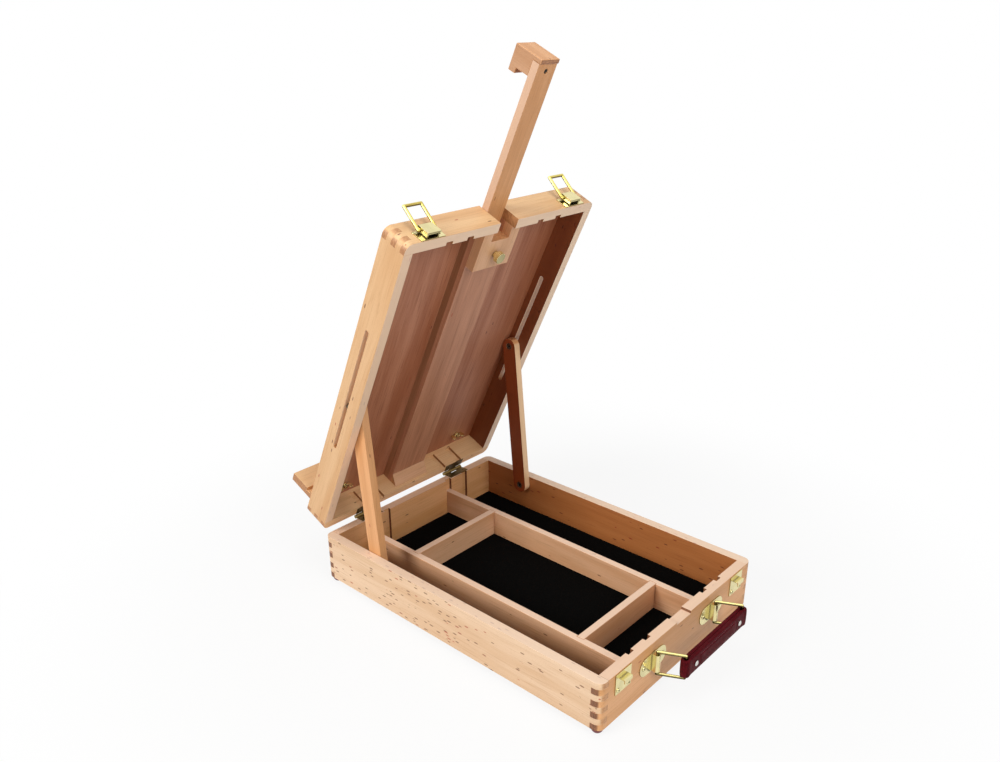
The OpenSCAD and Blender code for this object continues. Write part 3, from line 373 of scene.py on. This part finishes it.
def eased(node, width, material):
    """The node's solid with its sharp edges taken off, as sanded wood or pressed sheet has them."""
    piece = link(node + "_eased", solid_of(node))
    piece.data.materials.append(material)
    if width > 0:
        ease = piece.modifiers.new("eased edges", "BEVEL")
        ease.width = width
        ease.segments = 2
        ease.limit_method = "ANGLE"
        ease.angle_limit = SHARP
        ease.use_clamp_overlap = True
        ease.harden_normals = True
    return stands_for(piece, node)


def long_way(node):
    """The direction that a straight bar runs in."""
    points = np.array([v.co for v in frame["nodes"][node].data.vertices])
    values, axes = np.linalg.eigh(np.cov((points - points.mean(0)).T))
    return Vector(axes[:, int(np.argmax(values))]).normalized()


# Camera

def set_camera():
    """The camera that took the photograph, solved from the box's corners."""
    a, e, r = CAMERA_TURN, CAMERA_RISE, CAMERA_ROLL
    back = Vector((math.sin(a) * math.cos(e), -math.cos(a) * math.cos(e), math.sin(e)))
    right = Vector((math.cos(a), math.sin(a), 0))
    up = back.cross(right)
    right, up = right * math.cos(r) + up * math.sin(r), up * math.cos(r) - right * math.sin(r)
    camera = bpy.data.objects.new("camera", bpy.data.cameras.new("camera"))
    bpy.context.scene.collection.objects.link(camera)
    camera.data.lens = LENS
    camera.data.shift_x, camera.data.shift_y = SHIFT
    camera.data.clip_start = 0.02
    camera.data.clip_end = 30
    camera.matrix_world = Matrix.Translation(CAMERA_AT) @ Matrix((right, up, back)).transposed().to_4x4()
    bpy.context.scene.camera = camera


set_camera()

# Every metal takes painted light from its facing; the wire and loop brasses are the same brass with more
# painted shade and less painted highlight
brass = metal("polished_brass", "ece0a8", "4c3c12", 0.2)
wire_brass = metal("brass_wire", "d9cb86", "463a14", 0.2, 0.3, 1.0)
loop_brass = metal("brass_loops", "e8d678", "6a5418", 0.2, -0.1, 0.9)
dull_brass = metal("dull_brass", "8a7346", "3c2f16", 0.4)
steel = metal("nickel_steel", "d4d2cd", "6d6a64", 0.26)
dark_steel = metal("dark_steel", "6b655d", "322e29", 0.35)

# Widths of the boards' eased edges
WALL_EDGE = 0.0004
INNER_EDGE = 0.0005
RAIL_EDGE = 0.0003
COVER_EDGE = 0.0002
BAR_EDGE = 0.0006
ROUNDED_EDGE = 0.0008
AS_CUT = 0.0

# Each board's node, grain direction, look and width of its eased edges; None is the bar's own length
BOARDS = [
    ("tray_front_wall", ACROSS, CROSS_BEECH, WALL_EDGE),
    ("tray_back_wall", ACROSS, CROSS_BEECH, WALL_EDGE),
    ("tray_left_wall", ALONG, LEFT_BEECH, WALL_EDGE),
    ("tray_right_wall", ALONG, SIDE_BEECH, WALL_EDGE),
    ("left_divider", ALONG, INNER_BEECH, INNER_EDGE),
    ("right_divider", ALONG, INNER_BEECH, INNER_EDGE),
    ("back_cross_divider", ACROSS, INNER_BEECH, INNER_EDGE),
    ("front_cross_divider", ACROSS, INNER_BEECH, INNER_EDGE),
    ("lid_top_left_wall", ACROSS, LID_CROSS, WALL_EDGE),
    ("lid_top_right_wall", ACROSS, LID_CROSS, WALL_EDGE),
    ("lid_hinge_wall", ACROSS, LID_CROSS, WALL_EDGE),
    ("lid_left_wall", UP_THE_LID, LID_BEECH, WALL_EDGE),
    ("lid_right_wall", UP_THE_LID, LID_BEECH, WALL_EDGE),
    ("left_mast_rail", UP_THE_LID, RAIL, RAIL_EDGE),
    ("right_mast_rail", UP_THE_LID, RAIL, RAIL_EDGE),
    ("channel_cover", UP_THE_LID, COVER, COVER_EDGE),
    ("clamp_block", UP_THE_LID, INNER_BEECH, INNER_EDGE),
    ("channel_slope", ACROSS, INNER_BEECH, RAIL_EDGE),
    ("canvas_ledge", ACROSS, LID_CROSS, ROUNDED_EDGE),
    ("mast", UP_THE_LID, OILED, BAR_EDGE),
    ("mast_head", OUT_OF_LID, OILED, ROUNDED_EDGE),
    ("left_strut", None, OILED, BAR_EDGE),
    ("right_strut", None, OILED, BAR_EDGE),
    ("tray_floor", ALONG, PLY, AS_CUT),
    ("lid_left_board", UP_THE_LID, PLY, AS_CUT),
    ("lid_right_board", UP_THE_LID, PLY, AS_CUT),
]
for seed, (node, grain, look, width) in enumerate(BOARDS, start=1):
    board = wood(node + "_wood", grain or long_way(node), seed, look,
                 PAINTED_SHADE_SIDES.get(node, ()), RIM_TONES_AND_PAINTED_LIGHT.get(node))
    eased(node, width, board)

# Each metal, with its nodes and the widths of their eased edges
METAL_PIECES = [
    (brass, {"catch_plates": 0.0002, "handle_brackets": 0.00025, "latch_plates": 0.0002,
             "mast_straps": 0.0003, "left_latch_lever": 0.0002, "right_latch_lever": 0.0002,
             "left_wing_nut": 0.0003, "right_wing_nut": 0.0003, "clamp_screw": 0.0002,
             "strut_bushes": AS_CUT, "ledge_bolts": 0.0002, "latch_screws": 0.0001}),
    (wire_brass, {"left_handle_ring": AS_CUT, "right_handle_ring": AS_CUT}),
    (loop_brass, {"left_latch_loop": AS_CUT, "right_latch_loop": AS_CUT}),
    (dull_brass, {"tray_hinge_leaves": 0.00012, "lid_hinge_leaves": 0.00012, "hinge_pins": 0.00012}),
    (dark_steel, {"left_slot_bolt": 0.0002, "right_slot_bolt": 0.0002,
                  "left_strut_pin": 0.0002, "right_strut_pin": 0.0002}),
]
for material, widths in METAL_PIECES:
    for node, width in widths.items():
        eased(node, width, material)
eased("dome_feet", AS_CUT, foot_resin())


# Lining and grip

# The felt's soft rim, and how far its surface waves
FELT_RIM_W = 0.003
FELT_RIM_DROP = 0.0006
FELT_WAVE = 0.0002


def floor_lining():
    """The felt on the tray's floor: one sheet with soft edges and a slightly uneven nap."""
    low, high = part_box("floor_lining")
    across, along = 90, 130
    work = bmesh.new()
    rows = []
    for i in range(along + 1):
        row = []
        for j in range(across + 1):
            x = low.x + (high.x - low.x) * j / across
            y = low.y + (high.y - low.y) * i / along
            edge = min(x - low.x, high.x - x, y - low.y, high.y - y)
            sink = FELT_RIM_DROP * max(0.0, 1 - edge / FELT_RIM_W) ** 2
            wave = math.sin(x * 61 + math.sin(y * 37)) * math.sin(y * 47 + math.sin(x * 29))
            row.append(work.verts.new((x, y, high.z - FELT_WAVE - sink + FELT_WAVE * wave)))
        rows.append(row)
    for i in range(along):
        for j in range(across):
            work.faces.new((rows[i][j], rows[i][j + 1], rows[i + 1][j + 1], rows[i + 1][j]))
    outline = ([rows[0][j] for j in range(across)] + [rows[i][across] for i in range(along)]
               + [rows[along][j] for j in range(across, 0, -1)] + [rows[i][0] for i in range(along, 0, -1)])
    feet = [work.verts.new((v.co.x, v.co.y, low.z)) for v in outline]
    for k in range(len(outline)):
        n = (k + 1) % len(outline)
        work.faces.new((outline[n], outline[k], feet[k], feet[n]))
    work.faces.new(feet[::-1])
    bmesh.ops.recalc_face_normals(work, faces=work.faces)
    for face in work.faces:
        face.smooth = True
    mesh = bpy.data.meshes.new("felt_lining")
    work.to_mesh(mesh)
    work.free()
    piece = link("felt_lining", mesh)
    mesh.materials.append(floor_felt())
    stands_for(piece, "floor_lining")


floor_lining()

# The grip, measured from its middle: the rings' bars, its rivets, its padding and its rows of stitches
GRIP_BAR_X = 0.053
GRIP_HALF_T = 0.005
GRIP_HALF_H = 0.0095
GRIP_BORE = 0.0018
GRIP_SEAM = 0.00015
GRIP_FILLET = 0.0012
GRIP_LIP = 0.0004
GRIP_HOLLOW = 0.0035
PADDING_RISE = 0.0006
PRESSED_DEPTH = 0.0005
END_FADE = 0.0008
RIVET_X = 0.041
PADDING_X = RIVET_X - 0.007
STITCH_END_X = RIVET_X - 0.009
LINE_Z = 0.0062
LINE_HALF_W = 0.0007
LINE_FADE = 0.00035
BAR_FADE = 0.004
STITCH_PITCH = 0.0027
STITCH_HALF_SIZE = (0.00105, 0.0003, 0.0003)
STITCH_REACH = 0.00012


def grip_half_thickness(x, z):
    """How far the leather stands out from the grip's middle, at a place along it and up it."""
    crown = 1 - 0.10 * (z / GRIP_HALF_H) ** 4
    padded = 1 / (1 + math.exp((abs(x) - PADDING_X) / END_FADE))
    band = 1 / (1 + math.exp((abs(z) - LINE_Z) / LINE_FADE))
    pressed = math.exp(-((abs(z) - LINE_Z) / LINE_HALF_W) ** 2)
    end_line = math.exp(-((abs(x) - PADDING_X) / END_FADE) ** 2) * band
    relief = PADDING_RISE * (1 - padded * band) + PRESSED_DEPTH * max(pressed * padded, end_line)
    return GRIP_HALF_T * crown - relief * min(1.0, max(0.0, (GRIP_BAR_X - abs(x)) / BAR_FADE))


def grip_section(x, inner):
    """One layer of the grip cut across at x, from inner to its outer face, as (reach, height) pairs."""
    flat_h = GRIP_HALF_H - GRIP_FILLET
    corner_steps, face_steps = 6, 30
    section = []
    for k in range(corner_steps + 1):
        a = math.pi / 2 * k / corner_steps
        reach = grip_half_thickness(x, flat_h) - GRIP_FILLET * (1 - math.sin(a))
        section.append((reach, GRIP_HALF_H - GRIP_FILLET * (1 - math.cos(a))))
    heights = [flat_h - (2 * flat_h) * k / face_steps for k in range(1, face_steps)]
    section += [(grip_half_thickness(x, z), z) for z in heights]
    section += [(reach, -z) for reach, z in section[corner_steps::-1]]
    section += [(inner + GRIP_LIP, -GRIP_HALF_H + 0.0001), (inner, GRIP_LIP - GRIP_HALF_H)]
    section += [(inner, GRIP_HALF_H - GRIP_LIP), (inner + GRIP_LIP, GRIP_HALF_H - 0.0001)]
    return section


def leather_grip():
    """The strap that is folded round the rings' bars: a closed sweep with two layers and a seam between."""
    low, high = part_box("handle_grip")
    middle = (low + high) / 2
    straight_steps, turn_steps = 72, 20
    stations = []
    for side in (1, -1):
        for k in range(straight_steps + 1):
            x = side * GRIP_BAR_X * (1 - 2 * k / straight_steps)
            stations.append((x, Vector((0, side, 0)), 0.0))
        for k in range(1, turn_steps):
            angle = math.pi * k / turn_steps
            turn = Vector((-side * math.sin(angle), side * math.cos(angle), 0))
            stations.append((-side * GRIP_BAR_X, turn, 1.0))
    work = bmesh.new()
    loops = []
    for x, out, at_end in stations:
        near_bar = max(0.0, 1 - (GRIP_BAR_X - abs(x)) / GRIP_HOLLOW)
        opened = math.sqrt(max(0.0, 1 - (1 - near_bar) ** 2))
        inner = GRIP_SEAM + (GRIP_BORE - GRIP_SEAM) * max(at_end, opened)
        centre = middle + Vector((x, 0, 0))
        loops.append([work.verts.new(centre + out * reach + UP * z) for reach, z in grip_section(x, inner)])
    for a in range(len(loops)):
        b = (a + 1) % len(loops)
        for k in range(len(loops[0])):
            n = (k + 1) % len(loops[0])
            work.faces.new((loops[a][k], loops[b][k], loops[b][n], loops[a][n]))
    bmesh.ops.recalc_face_normals(work, faces=work.faces)
    for face in work.faces:
        face.smooth = True
    mesh = bpy.data.meshes.new("leather_grip")
    work.to_mesh(mesh)
    work.free()
    piece = link("leather_grip", mesh)
    mesh.materials.append(grip_leather())
    stands_for(piece, "handle_grip")


leather_grip()


# Small fittings and stitches that repeat

def tree_with(name, inputs):
    """A geometry node tree with named inputs and one geometry output, and its two end nodes."""
    tree = bpy.data.node_groups.new(name, "GeometryNodeTree")
    for label, kind in inputs:
        tree.interface.new_socket(label, in_out="INPUT", socket_type=kind)
    tree.interface.new_socket("Result", in_out="OUTPUT", socket_type="NodeSocketGeometry")
    return tree, tree.nodes.new("NodeGroupInput"), tree.nodes.new("NodeGroupOutput")


def finish_tree(tree, instances, start, end):
    """Ends a tree: its copies become real faces and take the material."""
    real = tree.nodes.new("GeometryNodeRealizeInstances")
    paint = tree.nodes.new("GeometryNodeSetMaterial")
    tree.links.new(instances, real.inputs["Geometry"])
    tree.links.new(real.outputs["Geometry"], paint.inputs["Geometry"])
    tree.links.new(start.outputs["Material"], paint.inputs["Material"])
    tree.links.new(paint.outputs["Geometry"], end.inputs["Result"])
    return tree


def fittings_tree():
    """Sets one fitting on every point, standing along the point's outward direction, turned at random."""
    tree, start, end = tree_with("set_fittings", (
        ("Places", "NodeSocketGeometry"), ("Fitting", "NodeSocketObject"),
        ("Turn", "NodeSocketFloat"), ("Material", "NodeSocketMaterial")))
    outward = tree.nodes.new("GeometryNodeInputNamedAttribute")
    outward.data_type = "FLOAT_VECTOR"
    outward.inputs["Name"].default_value = "outward"
    stand = tree.nodes.new("FunctionNodeAlignRotationToVector")
    stand.axis = "Z"
    tree.links.new(outward.outputs["Attribute"], stand.inputs["Vector"])
    chance = tree.nodes.new("FunctionNodeRandomValue")
    chance.data_type = "FLOAT"
    chance.inputs["Seed"].default_value = 7
    tree.links.new(start.outputs["Turn"], chance.inputs[3])
    about = tree.nodes.new("FunctionNodeAxisAngleToRotation")
    about.inputs["Axis"].default_value = (0, 0, 1)
    tree.links.new(chance.outputs[1], about.inputs["Angle"])
    turned = tree.nodes.new("FunctionNodeRotateRotation")
    turned.rotation_space = "LOCAL"
    tree.links.new(stand.outputs["Rotation"], turned.inputs["Rotation"])
    tree.links.new(about.outputs["Rotation"], turned.inputs["Rotate By"])
    shape = tree.nodes.new("GeometryNodeObjectInfo")
    tree.links.new(start.outputs["Fitting"], shape.inputs["Object"])
    placed = tree.nodes.new("GeometryNodeInstanceOnPoints")
    tree.links.new(start.outputs["Places"], placed.inputs["Points"])
    tree.links.new(shape.outputs["Geometry"], placed.inputs["Instance"])
    tree.links.new(turned.outputs["Rotation"], placed.inputs["Rotation"])
    return finish_tree(tree, placed.outputs["Instances"], start, end)


def stitches_tree():
    """Lays short stitches of thread end to end along a line."""
    tree, start, end = tree_with("lay_stitches", (
        ("Line", "NodeSocketGeometry"), ("Pitch", "NodeSocketFloat"),
        ("Size", "NodeSocketVector"), ("Material", "NodeSocketMaterial")))
    curve = tree.nodes.new("GeometryNodeMeshToCurve")
    tree.links.new(start.outputs["Line"], curve.inputs["Mesh"])
    spaced = tree.nodes.new("GeometryNodeResampleCurve")
    spaced.mode = "LENGTH"
    tree.links.new(curve.outputs["Curve"], spaced.inputs["Curve"])
    tree.links.new(start.outputs["Pitch"], spaced.inputs["Length"])
    way = tree.nodes.new("GeometryNodeInputTangent")
    lie = tree.nodes.new("FunctionNodeAlignRotationToVector")
    lie.axis = "X"
    tree.links.new(way.outputs["Tangent"], lie.inputs["Vector"])
    bead = tree.nodes.new("GeometryNodeMeshUVSphere")
    bead.inputs["Segments"].default_value = 10
    bead.inputs["Rings"].default_value = 8
    bead.inputs["Radius"].default_value = 1.0
    placed = tree.nodes.new("GeometryNodeInstanceOnPoints")
    tree.links.new(spaced.outputs["Curve"], placed.inputs["Points"])
    tree.links.new(bead.outputs["Mesh"], placed.inputs["Instance"])
    tree.links.new(lie.outputs["Rotation"], placed.inputs["Rotation"])
    tree.links.new(start.outputs["Size"], placed.inputs["Scale"])
    return finish_tree(tree, placed.outputs["Instances"], start, end)


def grown(name, start_mesh, tree, values):
    """A plain mesh piece made by running a tree over a starting mesh."""
    seed = link(name + "_seed", start_mesh)
    runner = seed.modifiers.new("tree", "NODES")
    runner.node_group = tree
    for item in tree.interface.items_tree:
        if item.item_type == "SOCKET" and item.in_out == "INPUT" and item.name in values:
            runner[item.identifier] = values[item.name]
    bpy.context.view_layer.update()
    whole = seed.evaluated_get(bpy.context.evaluated_depsgraph_get())
    mesh = bpy.data.meshes.new_from_object(whole)
    mesh.name = name
    bpy.data.objects.remove(seed)
    if "outward" in mesh.attributes:
        mesh.attributes.remove(mesh.attributes["outward"])
    for face in mesh.polygons:
        face.use_smooth = True
    return link(name, mesh)


# The screws: heads, shanks and cross recesses, whose painted shade is darkest from RECESS_DARK down.
# ANY_TURN is in radians
SCREW_HEAD_R = 0.0024
SCREW_SHANK_R = 0.0012
ROUND_RISE = 0.0013
SUNK_HEAD_H = 0.0008
RECESS_DEPTH = 0.0006
RECESS_DARK = 0.0003
SHORT_SHANK = 0.007
LONG_SHANK = 0.017
ANY_TURN = 3.0
HAIR = 0.0001


def turned_shape(name, profile, steps, dent):
    """A round piece about Z from (radius, height) pairs; dent says how deep its top's points are sunk."""
    work = bmesh.new()
    rings, dents = [], []
    for radius, height in profile:
        ring = []
        for k in range(steps):
            a = 2 * math.pi * k / steps
            x, y = radius * math.cos(a), radius * math.sin(a)
            dents.append(dent(x, y) if height > -HAIR else 0.0)
            ring.append(work.verts.new((x, y, height - dents[-1])))
        rings.append(ring)
    for low, high in zip(rings, rings[1:]):
        for k in range(steps):
            n = (k + 1) % steps
            work.faces.new((low[k], low[n], high[n], high[k]))
    work.faces.new(rings[0][::-1])
    work.faces.new(rings[-1])
    bmesh.ops.recalc_face_normals(work, faces=work.faces)
    mesh = bpy.data.meshes.new(name)
    work.to_mesh(mesh)
    work.free()
    # How much painted shade the metal puts at each point of the cross recess
    sunk = mesh.attributes.new("recess", "FLOAT", "POINT")
    for item, depth in zip(sunk.data, dents):
        item.value = min(1.0, depth / RECESS_DARK)
    return link(name, mesh)


def cross_recess(arm, half, depth):
    """Depth of a cross recess at a place on a screw's head."""
    def dent(x, y):
        near, far = sorted((abs(x), abs(y)))
        if near > half or far > arm or math.hypot(x, y) > arm:
            return 0.0
        return depth * min(1.0, 1.6 * (1 - far / arm) + 0.15)
    return dent


def screw_shape(name, rise, sunk, length):
    """A cross headed screw whose head starts at z = 0; a flush head is sunk below it."""
    profile = [(SCREW_SHANK_R, -length), (SCREW_SHANK_R, -sunk - HAIR), (SCREW_SHANK_R, -sunk)]
    profile += [(SCREW_HEAD_R, -sunk if rise == 0 else 0.0), (SCREW_HEAD_R, HAIR if rise else -HAIR)]
    for k in range(1, 15):
        share = 1 - k / 14.5
        profile.append((SCREW_HEAD_R * share * 0.98, rise * math.sqrt(1 - 0.9 * share ** 2)))
    recess = cross_recess(SCREW_HEAD_R * 0.66, SCREW_HEAD_R * 0.17, RECESS_DEPTH)
    return turned_shape(name, profile, 64, recess)


def islands(node):
    """The separate solids of a CAD node, each as an array of its points."""
    mesh = frame["nodes"][node].data
    work = bmesh.new()
    work.from_mesh(mesh)
    bmesh.ops.remove_doubles(work, verts=work.verts, dist=MERGE)
    left = set(work.verts)
    found = []
    while left:
        stack = [left.pop()]
        group = []
        while stack:
            vert = stack.pop()
            group.append(list(vert.co))
            for edge in vert.link_edges:
                other = edge.other_vert(vert)
                if other in left:
                    left.remove(other)
                    stack.append(other)
        found.append(np.array(group))
    work.free()
    return sorted(found, key=lambda g: tuple(np.round(g.mean(0), 5)))


def refitted(node, fitting, outward, drop, turn, material):
    """Sets a fitting in the place of each of a node's solids, drop below the solid's outermost point."""
    mesh = bpy.data.meshes.new(node + "_places")
    points = []
    for group in islands(node):
        top = float((group @ np.array(outward)).max()) - drop
        middle = Vector((group.min(0) + group.max(0)) / 2)
        points.append(middle + outward * (top - middle.dot(outward)))
    mesh.from_pydata(points, [], [])
    ways = mesh.attributes.new("outward", "FLOAT_VECTOR", "POINT")
    for way in ways.data:
        way.vector = outward
    piece = grown(node + "_set", mesh, SET_FITTINGS, {
        "Fitting": fitting, "Turn": turn, "Material": material})
    return stands_for(piece, node)


SET_FITTINGS = fittings_tree()
LAY_STITCHES = stitches_tree()
round_screw = screw_shape("round_screw", ROUND_RISE, 0.0, SHORT_SHANK)
flush_screw = screw_shape("flush_screw", 0.0, SUNK_HEAD_H, SHORT_SHANK)
long_screw = screw_shape("long_screw", 0.0, SUNK_HEAD_H, LONG_SHANK)
refitted("catch_screws", round_screw, -ALONG, ROUND_RISE, ANY_TURN, brass)
refitted("bracket_screws", round_screw, -ALONG, ROUND_RISE, ANY_TURN, brass)
refitted("tray_hinge_screws", flush_screw, UP, 0.0, ANY_TURN, dull_brass)
refitted("strap_screws", flush_screw, OUT_OF_LID, 0.0, ANY_TURN, brass)
refitted("lid_hinge_screws", flush_screw, -OUT_OF_LID, 0.0, ANY_TURN, dull_brass)
refitted("mast_head_screw", long_screw, -OUT_OF_LID, 0.0, 0.0, dark_steel)
for spare in (round_screw, flush_screw, long_screw):
    bpy.data.objects.remove(spare)
eased("grip_rivets", 0.0003, steel)


def grip_stitches():
    """Four rows of stitches near the grip's long edges."""
    low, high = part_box("handle_grip")
    middle = (low + high) / 2
    points_in_row = 35
    points, edges = [], []
    for side in (-1, 1):
        for z in (-LINE_Z, LINE_Z):
            for k in range(points_in_row):
                x = (k / (points_in_row - 1) * 2 - 1) * STITCH_END_X
                reach = grip_half_thickness(x, z) + STITCH_REACH
                if k:
                    edges.append((len(points) - 1, len(points)))
                points.append(middle + Vector((x, side * reach, z)))
    mesh = bpy.data.meshes.new("stitch_lines")
    mesh.from_pydata(points, edges, [])
    piece = grown("grip_stitches", mesh, LAY_STITCHES, {
        "Pitch": STITCH_PITCH, "Size": STITCH_HALF_SIZE, "Material": grip_thread()})
    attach(piece, "grip")


grip_stitches()


# Floor and light

WHITE = (1, 1, 1, 1)
FLOOR_DROP = 0.0002
WHITE_NEAR_BOX = 0.87
WHITE_FROM = 0.28
WHITE_BY = 0.6
SURROUND_LIGHT = 0.24


def seen_directly(tree):
    """1 for rays from the camera, from gloss and through glass, and 0 for the light on the object."""
    ray = tree.nodes.new("ShaderNodeLightPath")
    seen = ray.outputs["Is Camera Ray"]
    for kind in ("Is Glossy Ray", "Is Transmission Ray"):
        either = tree.nodes.new("ShaderNodeMath")
        either.operation = "MAXIMUM"
        tree.links.new(seen, either.inputs[0])
        tree.links.new(ray.outputs[kind], either.inputs[1])
        seen = either.outputs[0]
    return seen


def pale_floor():
    """A pale floor that keeps a faint soft shadow near the box and is white further out."""
    bpy.ops.mesh.primitive_circle_add(vertices=96, radius=6, fill_type="NGON", location=(0, 0, 0))
    floor = bpy.context.object
    floor.name = "floor"
    floor.data.transform(Matrix.Translation((0, 0, -FLOOR_DROP)))
    f = Finish("pale_floor")
    distance = f.put("ShaderNodeVectorMath", 1, {0: f.coordinates.outputs["Object"]}, operation="LENGTH")
    whiteness = f.fade(distance, WHITE_FROM, WHITE_BY, WHITE_NEAR_BOX, 1.0)
    amount = f.maths("MULTIPLY", seen_directly(f.tree), whiteness)
    plain = f.put("ShaderNodeBsdfDiffuse", 0, {"Color": rgba("e6e6e4")})
    white = f.put("ShaderNodeEmission", 0, {"Color": WHITE, "Strength": 1.0})
    surface = f.put("ShaderNodeMixShader", 0, {0: amount, 1: plain, 2: white})
    f.put("ShaderNodeOutputMaterial", None, {"Surface": surface})
    floor.data.materials.append(f.material)


def surround():
    """Weak light from all round, which is seen directly as white."""
    world = bpy.data.worlds.new("surround")
    bpy.context.scene.world = world
    world.use_nodes = True
    tree = world.node_tree
    tree.nodes.clear()
    blend = tree.nodes.new("ShaderNodeMixShader")
    tree.links.new(seen_directly(tree), blend.inputs[0])
    for inlet, strength in ((1, SURROUND_LIGHT), (2, 1.0)):
        sky = tree.nodes.new("ShaderNodeBackground")
        sky.inputs["Strength"].default_value = strength
        sky.inputs["Color"].default_value = WHITE
        tree.links.new(sky.outputs[0], blend.inputs[inlet])
    output = tree.nodes.new("ShaderNodeOutputWorld")
    tree.links.new(blend.outputs[0], output.inputs["Surface"])


def lamps():
    """Soft square lamps: a key at the left, a weaker one overhead and a weak fill in front."""
    for name, at, aim, size, power in (
            ("key", (-2.5, 0.6, 1.5), (0, 0, 0.15), 1.2, 56),
            ("roof", (-0.3, -0.2, 2.3), (0, 0, 0), 1.6, 16),
            ("fill", (-0.3, -2.1, 1.3), (0, 0, 0.2), 1.2, 20)):
        lamp = bpy.data.lights.new(name, "AREA")
        lamp.size = size
        lamp.energy = power
        holder = bpy.data.objects.new(name, lamp)
        bpy.context.scene.collection.objects.link(holder)
        holder.location = at
        holder.rotation_euler = (Vector(at) - Vector(aim)).to_track_quat("Z", "Y").to_euler()


pale_floor()
surround()
lamps()
bpy.context.scene.view_settings.view_transform = "Standard"
